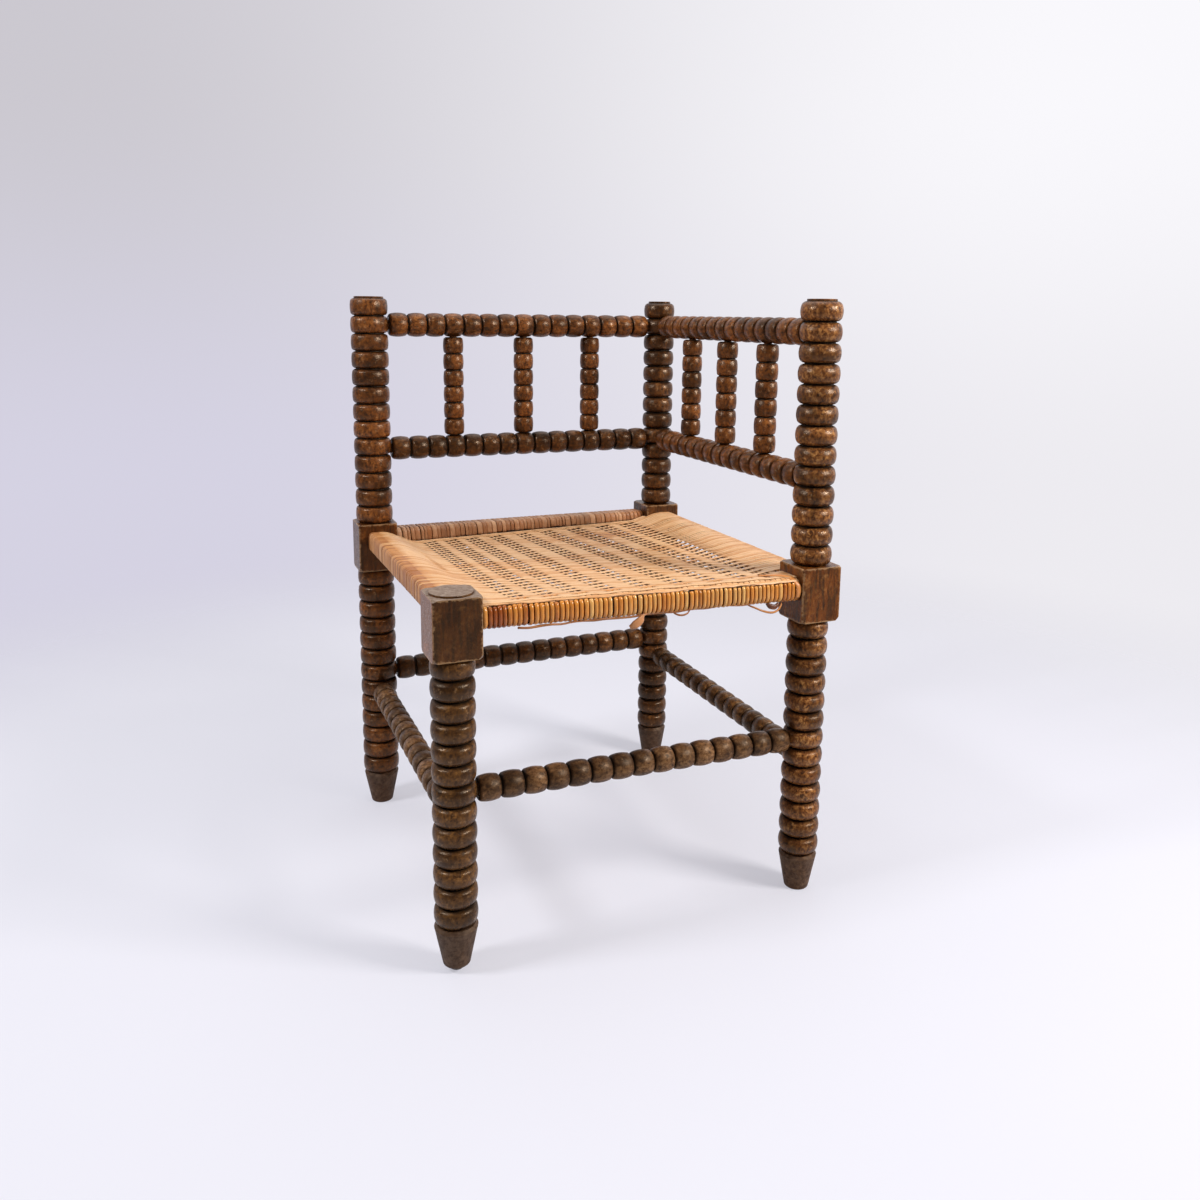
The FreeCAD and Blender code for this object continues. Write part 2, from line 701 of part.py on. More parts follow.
def build_tails():
    """Make the two knotted strand ends that hang under the front rail."""
    knots = []
    for number, along in enumerate(("{first_tail_along}", "{second_tail_along}"), start=1):
        knot = document.addObject("Part::Cone", "cane_knot_%d" % number)
        bind(knot, "Radius1", "{tail_tip_dia} / 2")
        bind(knot, "Radius2", "{tail_dia} / 2")
        bind(knot, "Height", "{tail_length}")
        rise = "{glide_height} * (1 - " + along + " / {post_spacing_x})"
        under = SEAT_RAIL + " + " + rise + " - " + WRAP_HEIGHT + " / 2 - {seat_gap}"
        place(
            knot,
            along + " - {post_spacing_x} / 2",
            "-{post_spacing_y} / 2 - {front_rail_offset}",
            under + " - {tail_length}",
        )
        knots.append(knot)
    tails = document.addObject("Part::Compound", "cane_tails")
    tails.Label = "cane_tails"
    tails.Links = knots
    subparts.append(tails)


def build_glide():
    """Turn the domed glide with its nail, which is driven into the short post's foot."""
    body = new_body("foot_glide")
    upright = FreeCAD.Vector(0, 0, 1)
    flat = worked("{glide_flat_dia} / 2")
    rim = worked("{glide_dia} / 2")
    low = worked("{glide_height} - {glide_rim}")
    high = worked("{glide_height}")
    nail = worked("{glide_nail_dia} / 2")
    point = worked("{glide_height} + {glide_nail_length}")
    # The dome's centre stands over the flat, so that the arc leaves the flat smoothly
    radius = ((rim - flat) ** 2 + low**2) / (2 * low)
    centre = FreeCAD.Vector(flat, radius, 0)
    swing = math.asin((rim - flat) / radius)
    down = -math.pi / 2
    outline = new_sketch(body, "outline", "XZ_Plane")
    corners = [
        FreeCAD.Vector(x, y, 0)
        for x, y in ((rim, low), (rim, high), (nail, high), (nail, point), (0, point), (0, 0), (flat, 0))
    ]
    outline.addGeometry(
        [Part.LineSegment(corners[i], corners[i + 1]) for i in range(6)]
        + [Part.ArcOfCircle(Part.Circle(centre, upright, radius), down, down + swing)],
        False,
    )
    for i in range(5):
        outline.addConstraint(Sketcher.Constraint("Coincident", i, 2, i + 1, 1))
        outline.addConstraint(Sketcher.Constraint("Horizontal" if i % 2 else "Vertical", i))
    for rule in (
        ("Horizontal", 5),
        ("Tangent", 5, 2, 6, 1),
        ("Coincident", 6, 2, 0, 1),
        ("Coincident", 4, 2, -1, 1),
    ):
        outline.addConstraint(Sketcher.Constraint(*rule))
    fix(outline, "DistanceX", (5, 1, 5, 2), "{glide_flat_dia} / 2")
    fix(outline, "DistanceX", (-1, 1, 0, 1), "{glide_dia} / 2")
    fix(outline, "DistanceY", (-1, 1, 0, 2), "{glide_height}")
    fix(outline, "DistanceY", (0, 1, 0, 2), "{glide_rim}")
    fix(outline, "DistanceX", (-1, 1, 2, 1), "{glide_nail_dia} / 2")
    fix(outline, "DistanceY", (2, 1, 2, 2), "{glide_nail_length}")
    turn(outline, "dome")
    return body


# Where each post stands, in halves of the post spacing
POSTS = {
    "front": ("-", "-"),
    "right": ("", "-"),
    "corner": ("", ""),
    "left": ("-", ""),
}
# Each side of the seat: its first post, its second post and the way from one to the other
SEAT_SIDES = {
    "front": ("front", "right", "X"),
    "right": ("corner", "right", "-Y"),
    "back": ("left", "corner", "X"),
    "left": ("left", "front", "-Y"),
}
BACK_PANELS = ("back", "right")


def build_chair():
    """Build every sub-part and put it in its place."""
    posts = {}
    for name, (x_sign, y_sign) in POSTS.items():
        post = build_post(name, tall=name != "front")
        posts[name] = post
        height = "{glide_height}" if name == "front" else None
        place(post, x_sign + "{post_spacing_x} / 2", y_sign + "{post_spacing_y} / 2", height)

    for side, (first, second, way) in SEAT_SIDES.items():
        spacing = "{post_spacing_x}" if way == "X" else "{post_spacing_y}"
        climbs = "front" in (first, second)
        rise = worked("{glide_height}") * ((second == "front") - (first == "front"))
        reach = worked(spacing)
        direction = (reach, 0, rise) if way == "X" else (0, -reach, rise)
        span = "sqrt(" + spacing + " ^ 2 + {glide_height} ^ 2)" if climbs else spacing
        start_lift = " + {glide_height}" if first == "front" else ""
        x = POSTS[first][0] + "{post_spacing_x} / 2"
        y = POSTS[first][1] + "{post_spacing_y} / 2"
        outward = " - {front_rail_offset}" if side == "front" else ""
        leaving = "+X" if way == "X" else "-Y"
        arriving = "-X" if way == "X" else "+Y"
        stretcher_height = HIGH_STRETCHER if way == "X" else LOW_STRETCHER

        rail = build_seat_rail(side + "_seat_rail", span)
        wrap = build_wrap("cane_wrap_" + side, span)
        for piece in (rail, wrap):
            place(piece, x, y + outward, SEAT_RAIL + start_lift, direction)
        # The stretcher under the back is turned as thick as the back's own rails
        stretcher, _, _ = build_beaded_rail(
            side + "_stretcher",
            "{rail_bead_dia}" if side == "back" else "{stretcher_bead_dia}",
            span,
            "{" + first + "_bead_dia}",
            "{" + second + "_bead_dia}",
        )
        place(stretcher, x, y, stretcher_height + start_lift, direction)

        for post_name, opening in ((first, leaving), (second, arriving)):
            seat_level = SEAT_RAIL
            stretcher_level = stretcher_height
            if climbs:
                sign = " - " if post_name == "front" else " + "
                bead_radius = "{" + post_name + "_bead_dia} / 2"
                seat_level = SEAT_RAIL + sign + tilt(spacing, BLOCK_HALF)
                stretcher_level = stretcher_height + sign + tilt(spacing, bead_radius)
            across = "-{front_rail_offset}" if side == "front" else None
            post = posts[post_name]
            square_socket(post, side + "_seat_socket", opening, seat_level, across)
            round_socket(
                post,
                side + "_stretcher_socket",
                opening,
                stretcher_level,
                "{tenon_stop}",
                "{tenon_dia}",
            )

        if side in BACK_PANELS:
            build_back_panel(side, posts, (first, leaving), (second, arriving), direction, spacing)

    nail_hole = new_sketch(posts["front"], "nail_hole_outline", "XY_Plane")
    circle(nail_hole, "({glide_nail_dia} + 2 * {glide_nail_gap})")
    pocket(nail_hole, "nail_hole", "({glide_nail_length} + {floor_gap})", True)
    glide = build_glide()
    place(glide, "-{post_spacing_x} / 2", "-{post_spacing_y} / 2", None)

    web = build_web()
    place(web, None, None, SEAT_RAIL)
    build_tails()


def build_back_panel(side, posts, first_end, second_end, direction, spacing):
    """Build one back panel: its top rail, its lower rail and the spindles between them."""
    first, leaving = first_end
    second, arriving = second_end
    x = POSTS[first][0] + "{post_spacing_x} / 2"
    y = POSTS[first][1] + "{post_spacing_y} / 2"
    for word, height, hole_side in (("top", TOP_RAIL, "-X"), ("lower", LOWER_RAIL, "+X")):
        rail, start, pitch = build_beaded_rail(
            side + "_" + word + "_rail",
            "{rail_bead_dia}",
            spacing,
            "{" + first + "_bead_dia}",
            "{" + second + "_bead_dia}",
        )
        drill_for_spindles(rail, hole_side, start, pitch)
        place(rail, x, y, height, direction)
        for post_name, opening in ((first, leaving), (second, arriving)):
            round_socket(
                posts[post_name],
                side + "_" + word + "_socket",
                opening,
                height,
                "{tenon_stop}",
                "{tenon_dia}",
            )
    for number in range(1, int(worked("{spindle_count}")) + 1):
        spindle = build_spindle("%s_spindle_%d" % (side, number))
        along = "(" + start + " + ({spindle_bead_step} * " + str(number) + " - 0.5) * " + pitch + ")"
        if direction[0]:
            place(spindle, x + " + " + along, y, LOWER_RAIL)
        else:
            place(spindle, x, y + " - " + along, LOWER_RAIL)


def check_model():
    """Stop if any object failed, any cut missed, or any sub-part is not sound."""
    for item in document.Objects:
        if "Invalid" in item.State or "Error" in item.State:
            raise RuntimeError("%s failed: %s" % (item.Name, item.State))
        if item.TypeId in ("PartDesign::Pocket", "PartDesign::Groove"):
            if item.Shape.Volume > item.BaseFeature.Shape.Volume - 0.1:
                raise RuntimeError("%s cuts nothing" % item.Name)
    for item in subparts:
        if item.Shape.isNull() or not item.Shape.isValid():
            raise RuntimeError("%s has no sound shape" % item.Label)


build_chair()
document.recompute()
check_model()
os.makedirs("parts", exist_ok=True)
for item in subparts:
    item.Shape.exportStep(os.path.join("parts", item.Label + ".step"))
print("sub-parts", len(subparts))
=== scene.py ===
"""Looks of a corner chair with bobbin-turned wood and a woven cane seat.

Metres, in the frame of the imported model: +Z up, +X along the front rail and +Y from the
front to the back. The turned wood keeps its modelled solids and gets its finish here. The
seat is modelled strand by strand: long strands from front to back, cross strands from left
to right, a winding round the front and the back rail, and the loose ends under the front.
"""

from __future__ import annotations

import logging
import math
from dataclasses import dataclass, field
from enum import Enum

import bpy
import numpy as np
from mathutils import Matrix, Vector

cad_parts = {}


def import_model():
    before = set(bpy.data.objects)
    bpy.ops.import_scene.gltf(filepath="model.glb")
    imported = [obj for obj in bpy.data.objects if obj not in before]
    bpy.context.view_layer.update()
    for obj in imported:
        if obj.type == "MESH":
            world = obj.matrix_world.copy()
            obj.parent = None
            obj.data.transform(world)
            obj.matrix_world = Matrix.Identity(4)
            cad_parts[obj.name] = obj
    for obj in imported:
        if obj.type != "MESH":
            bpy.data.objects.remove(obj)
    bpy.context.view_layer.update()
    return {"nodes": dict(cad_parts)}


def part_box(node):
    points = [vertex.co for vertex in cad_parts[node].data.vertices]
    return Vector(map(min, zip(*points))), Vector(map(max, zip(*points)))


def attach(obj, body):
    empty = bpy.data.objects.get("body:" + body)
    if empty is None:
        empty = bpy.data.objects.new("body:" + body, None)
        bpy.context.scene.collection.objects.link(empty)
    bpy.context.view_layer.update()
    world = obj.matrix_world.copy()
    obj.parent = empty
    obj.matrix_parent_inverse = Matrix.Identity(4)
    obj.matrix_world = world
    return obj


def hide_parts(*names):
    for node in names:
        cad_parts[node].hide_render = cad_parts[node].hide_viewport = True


log = logging.getLogger("corner_chair")

MM = 0.001
STRAND_MAP = "strand_map"
# The strand's dye holds its tone, its age and painted shade, and its gloss.
STRAND_DYE = "strand_dye"
Colour = tuple[float, float, float]
Socket = bpy.types.NodeSocket


class Axis(Enum):
    """The direction in which a turned piece, and its grain, runs."""

    X = 0
    Y = 1
    Z = 2

    def upright(self, tilt: float = 0.0) -> Colour:
        """Return the turn that sets this direction, tilted by an angle, along Z."""
        quarter = math.radians(90.0)
        return ((0.0, quarter - tilt, 0.0), (quarter + tilt, 0.0, 0.0), (0.0, 0.0, 0.0))[self.value]


# Wiring of shader nodes


@dataclass
class Wiring:
    """A node tree with short ways to add and join the nodes that the finishes use."""

    tree: bpy.types.NodeTree

    def fill(self, node: bpy.types.Node, **sockets: object) -> bpy.types.Node:
        """Set or join a node's inputs.

        Args:
            node: The node.
            **sockets: Inputs by name, with _ for a space, or i0, i1 and so on by number.

        Returns:
            The node.
        """
        for name, value in sockets.items():
            numbered = name[0] == "i" and name[1:].isdigit()
            socket = node.inputs[int(name[1:]) if numbered else name.replace("_", " ")]
            if isinstance(value, Socket):
                self.tree.links.new(value, socket)
            elif isinstance(value, tuple) and socket.type == "RGBA":
                socket.default_value = (*value[:3], 1.0)
            else:
                socket.default_value = value
        return node

    def add(self, kind: str, settings: dict | None = None, **sockets: object) -> bpy.types.Node:
        """Add a node.

        Args:
            kind: The node's type name, without the leading "ShaderNode".
            settings: Properties of the node itself.
            **sockets: Inputs, as for fill.

        Returns:
            The new node.
        """
        node = self.tree.nodes.new("ShaderNode" + kind)
        for name, value in (settings or {}).items():
            setattr(node, name, value)
        return self.fill(node, **sockets)

    def math(self, operation: str, a: object, b: object = 0.0, clamp: bool = False) -> Socket:
        """Join two values by a Math node and return its result."""
        return self.add("Math", {"operation": operation, "use_clamp": clamp}, i0=a, i1=b).outputs[0]

    def times(self, a: object, b: object, c: object = None) -> Socket:
        """Return the product of two or three values."""
        product = self.math("MULTIPLY", a, b)
        return product if c is None else self.math("MULTIPLY", product, c)

    def plus(self, a: object, b: object) -> Socket:
        """Return the sum of two values."""
        return self.math("ADD", a, b)

    def minus(self, a: object, b: object) -> Socket:
        """Return the difference of two values."""
        return self.math("SUBTRACT", a, b)

    def vector(self, operation: str, a: object, b: object = (0.0, 0.0, 0.0), out: int = 0) -> Socket:
        """Join two vectors by a Vector Math node and return one of its results."""
        return self.add("VectorMath", {"operation": operation}, i0=a, i1=b).outputs[out]

    def span(
        self, value: object, low: object, high: object, start: object = 0.0, end: object = 1.0
    ) -> Socket:
        """Return start where a value is at low, end where it is at high, and a smooth change between."""
        settings = {"interpolation_type": "SMOOTHSTEP"}
        return self.add("MapRange", settings, i0=value, i1=low, i2=high, i3=start, i4=end).outputs[0]

    def blend(self, share: object, a: object, b: object, mode: str = "MIX") -> Socket:
        """Mix two colours and return the result."""
        settings = {"data_type": "RGBA", "blend_type": mode, "clamp_factor": True}
        return self.add("Mix", settings, i0=share, i6=a, i7=b).outputs[2]

    def noise(
        self, at: object, scale: float, detail: float = 4.0, rough: float = 0.55, warp: float = 0.0
    ) -> Socket:
        """Return the value of a noise at a point."""
        sizes = {"Scale": scale, "Detail": detail, "Roughness": rough, "Distortion": warp}
        return self.add("TexNoise", Vector=at, **sizes).outputs["Fac"]

    def apart(self, vector: object) -> list[Socket]:
        """Split a vector into its three numbers."""
        return list(self.add("SeparateXYZ", Vector=vector).outputs)

    def use(self, group: bpy.types.NodeTree, **sockets: object) -> bpy.types.NodeOutputs:
        """Place a shared effect and return its outputs."""
        return self.add("Group", {"node_tree": group}, **sockets).outputs


# Shared effects


def start_effect(
    name: str, inputs: dict[str, object], outputs: tuple[str, ...]
) -> tuple[Wiring, bpy.types.NodeOutputs, bpy.types.Node]:
    """Start a node group for an effect that several finishes share.

    Args:
        name: The group's name.
        inputs: Each input with its starting value, from which its kind follows.
        outputs: The outputs, of which Color is a colour and the others are numbers.

    Returns:
        The group's wiring, its inputs by name and its output node.
    """
    tree = bpy.data.node_groups.new(name, "ShaderNodeTree")
    for word, value in inputs.items():
        kind = {1: "Float", 3: "Vector", 4: "Color"}[len(value) if isinstance(value, tuple) else 1]
        socket = tree.interface.new_socket(word, in_out="INPUT", socket_type="NodeSocket" + kind)
        socket.default_value = value
    for word in outputs:
        kind = "NodeSocketColor" if word == "Color" else "NodeSocketFloat"
        tree.interface.new_socket(word, in_out="OUTPUT", socket_type=kind)
    given = tree.nodes.new("NodeGroupInput").outputs
    return Wiring(tree), given, tree.nodes.new("NodeGroupOutput")


class Effects:
    """The shader effects that the finishes share, each a node group that is built once."""

    def __init__(self) -> None:
        """Build all the effects."""
        self.build_grain()
        self.build_bead()
        self.build_edge()
        self.build_fibre()

    def build_grain(self) -> None:
        """Old waxed wood: golden flecks, dark clouds, fine pores along Z and shallow dents."""
        inputs = {
            "Vector": (0.0, 0.0, 0.0), "Dark": (0.02, 0.01, 0.006, 1.0), "Middle": (0.1, 0.05, 0.02, 1.0),
            "Light": (0.2, 0.1, 0.05, 1.0), "Mottle": 0.5, "Streak": 0.3,
        }
        w, given, result = start_effect("wood_grain", inputs, ("Color", "Height", "Roughness"))
        place = given["Vector"]
        streak = w.noise(w.vector("MULTIPLY", place, (1.0, 1.0, 0.1)), 260.0, 4.0, 0.6, 0.3)
        pores = w.noise(w.vector("MULTIPLY", place, (1.0, 1.0, 0.22)), 1300.0, 2.0, 0.6)
        fleck = w.noise(w.vector("MULTIPLY", place, (1.0, 1.0, 0.8)), 260.0, 5.0, 0.75, 0.5)
        cloud = w.noise(w.vector("MULTIPLY", place, (1.0, 1.0, 0.6)), 34.0, 3.0, 0.55, 0.4)
        tone = w.blend(w.span(cloud, 0.38, 0.52, 0.7, 0.0), given["Middle"], given["Dark"])
        golden = w.times(w.span(fleck, 0.48, 0.63), w.span(cloud, 0.42, 0.6, 0.3, 1.0))
        tone = w.blend(w.math("MULTIPLY", golden, given["Mottle"], clamp=True), tone, given["Light"])
        lines = w.math("MULTIPLY", w.span(streak, 0.56, 0.34), given["Streak"], clamp=True)
        for share in (w.span(fleck, 0.5, 0.36, 0.0, 0.9), lines, w.span(pores, 0.44, 0.28, 0.0, 0.5)):
            tone = w.blend(share, tone, given["Dark"])
        height = w.plus(w.plus(w.times(cloud, 1.6), w.times(fleck, 0.55)), w.times(pores, 0.12))
        rough = w.span(w.plus(fleck, w.times(pores, 0.3)), 0.82, 0.5)
        w.fill(result, Color=tone, Height=height, Roughness=rough)
        self.grain = w.tree

    def build_bead(self) -> None:
        """Painted shade and grime in the grooves between turned beads, and a tone of its own for each bead.
        """
        inputs = {"Vector": (0.0, 0.0, 0.0), "Radius": 0.02, "Depth": 0.006, "Start": 0.0, "Pitch": 0.02}
        w, given, result = start_effect("bead_shade", inputs, ("Groove", "Tone", "Crown", "Round"))
        x, y, z = w.apart(given["Vector"])
        depth = w.minus(given["Radius"], w.math("SQRT", w.plus(w.times(x, x), w.times(y, y))))
        depth_noise = w.times(w.minus(w.noise(given["Vector"], 150.0, 3.0), 0.5), 0.5)
        share = w.plus(w.math("DIVIDE", depth, given["Depth"]), depth_noise)
        beads = w.math("DIVIDE", w.minus(z, given["Start"]), given["Pitch"])
        off = w.minus(w.math("FRACT", beads), 0.5)
        radius = w.times(given["Radius"], 91.7)
        seed = w.add("CombineXYZ", X=w.math("FLOOR", beads), Y=radius, Z=given["Start"]).outputs[0]
        tone = w.add("TexWhiteNoise", {"noise_dimensions": "3D"}, Vector=seed).outputs["Value"]
        # Groove masks the painted shade and grime, darkest deep in the grooves.
        w.fill(result, Groove=w.span(share, 0.26, 0.85), Crown=w.span(share, 0.24, -0.02), Tone=tone)
        w.fill(result, Round=w.times(off, off, -4.0))
        self.bead = w.tree

    def build_edge(self) -> None:
        """Wear on the edges of a block: strong where two of its three sizes are reached."""
        inputs = {"Vector": (0.0, 0.0, 0.0), "Half size": (0.026, 0.026, 0.03), "Width": 0.003}
        w, given, result = start_effect("edge_wear", inputs, ("Mask",))
        ragged = w.noise(given["Vector"], 210.0, 4.0, 0.65)
        width = w.times(given["Width"], w.span(ragged, 0.3, 0.72, 0.15, 1.9))
        inward = w.vector("SUBTRACT", given["Half size"], w.vector("ABSOLUTE", given["Vector"]))
        a, b, c = w.apart(inward)
        largest = w.math("MAXIMUM", a, w.math("MAXIMUM", b, c))
        smallest = w.math("MINIMUM", a, w.math("MINIMUM", b, c))
        second = w.minus(w.minus(w.plus(a, w.plus(b, c)), largest), smallest)
        w.fill(result, Mask=w.span(second, width, w.times(width, 0.25)))
        self.edge = w.tree

    def build_fibre(self) -> None:
        """Split cane: fibres along the strand, painted shade along its sides, and a tone for each strand."""
        inputs = {
            "Vector": (0.0, 0.0, 0.0), "Tone": 0.3, "Age": 0.0, "Sides": 0.5, "Split": 1.0,
            "Straw": (0.6, 0.4, 0.2, 1.0), "Honey": (0.45, 0.22, 0.06, 1.0),
            "Rust": (0.3, 0.1, 0.03, 1.0), "Bark": (0.05, 0.02, 0.01, 1.0),
        }
        w, given, result = start_effect("cane_fibre", inputs, ("Color", "Height", "Roughness"))
        across, along, _ = w.apart(given["Vector"])
        lines = w.add("CombineXYZ", X=w.times(across, 5.0), Y=w.times(along, 22.0)).outputs[0]
        fibre = w.noise(lines, 2.6, 4.0, 0.65)
        blotch = w.noise(w.add("CombineXYZ", X=across, Y=w.times(along, 90.0)).outputs[0], 0.9, 3.0)
        tone = w.plus(given["Tone"], w.times(w.minus(blotch, 0.5), 0.5))
        colour = w.blend(w.span(tone, 0.12, 0.5), given["Straw"], given["Honey"])
        colour = w.blend(w.span(tone, 0.5, 0.92), colour, given["Rust"])
        colour = w.blend(w.span(fibre, 0.58, 0.28, 0.0, 0.4), colour, given["Rust"])
        colour = w.blend(w.span(fibre, 0.6, 0.8, 0.0, 0.35), colour, given["Straw"])
        # Painted shade along each strand's sides; where Split is near 2 it also paints a shade line down the
        # strand's middle.
        side = w.math("ABSOLUTE", w.minus(w.math("FRACT", w.times(across, given["Split"])), 0.5))
        colour = w.blend(w.times(w.span(side, 0.33, 0.5), given["Sides"]), colour, given["Rust"])
        # Age and painted shade darken the strand towards bark.
        colour = w.blend(given["Age"], colour, given["Bark"])
        w.fill(result, Color=colour, Height=fibre, Roughness=w.span(fibre, 0.25, 0.75, 0.15, -0.1))
        self.fibre = w.tree


# Finishes


@dataclass
class Coat(Wiring):
    """The wiring of one material, with the colour and the roughness that it has so far."""

    colour: object = (0.0, 0.0, 0.0)
    rough: object = 0.5

    def __post_init__(self) -> None:
        """Find the point that is painted."""
        self.place = self.add("TexCoord").outputs["Object"]
        self.shader = self.tree.nodes["Principled BSDF"]

    def layer(self, share: object, colour: object) -> None:
        """Lay a colour over the colour so far."""
        self.colour = self.blend(share, self.colour, colour)

    def settle(self, height: object, strength: float, depth: float, **more: object) -> None:
        """Give the shader its colour and roughness, a bump of that strength and depth, and more."""
        bump = self.add("Bump", Strength=strength, Distance=depth, Height=height).outputs["Normal"]
        self.fill(self.shader, Base_Color=self.colour, Roughness=self.rough, Normal=bump, **more)


@dataclass(frozen=True)
class Finish:
    """A procedural material, which each kind of finish shades in its own way."""

    name: str

    def paint(self, effects: Effects) -> bpy.types.Material:
        """Build the material.

        Args:
            effects: The shared effects.

        Returns:
            The finished material.
        """
        material = bpy.data.materials.new(self.name)
        material.use_nodes = True
        self.shade(Coat(material.node_tree), effects)
        return material

    def shade(self, w: Coat, effects: Effects) -> None:
        """Wire the material, which each kind of finish does for itself."""
        raise NotImplementedError


@dataclass(frozen=True)
class Stain:
    """The colours of one stained wood, and how worn it is."""

    dark: Colour = (0.019, 0.0062, 0.002)
    middle: Colour = (0.14, 0.042, 0.0095)
    light: Colour = (0.34, 0.128, 0.034)
    worn: Colour = (0.44, 0.26, 0.13)
    # The near-black of the grooves: partly grime, partly painted shade.
    grime_and_shade: Colour = (0.0045, 0.0022, 0.0013)
    block: Colour = (0.1, 0.026, 0.004)
    mottle: float = 0.75
    streak: float = 0.15
    roughness: float = 0.2
    roundness: float = 1.9


RED_STAIN = Stain()
GOLDEN_STAIN = Stain(
    middle=(0.165, 0.053, 0.013), light=(0.5, 0.235, 0.075), block=(0.17, 0.04, 0.003),
    mottle=0.9, roundness=2.6,
)
DARK_STAIN = Stain(middle=(0.08, 0.028, 0.0085), light=(0.24, 0.095, 0.027), block=(0.12, 0.04, 0.01))
OLIVE_STAIN = Stain(middle=(0.086, 0.035, 0.0105), light=(0.25, 0.115, 0.034), block=(0.078, 0.021, 0.0035))
PALE_STAIN = Stain(middle=(0.15, 0.068, 0.026), light=(0.33, 0.175, 0.075), roughness=0.3)


@dataclass(frozen=True)
class BeadRow:
    """One row of beads along a piece: where it starts, its pitch and its count."""

    start: float
    pitch: float
    count: int


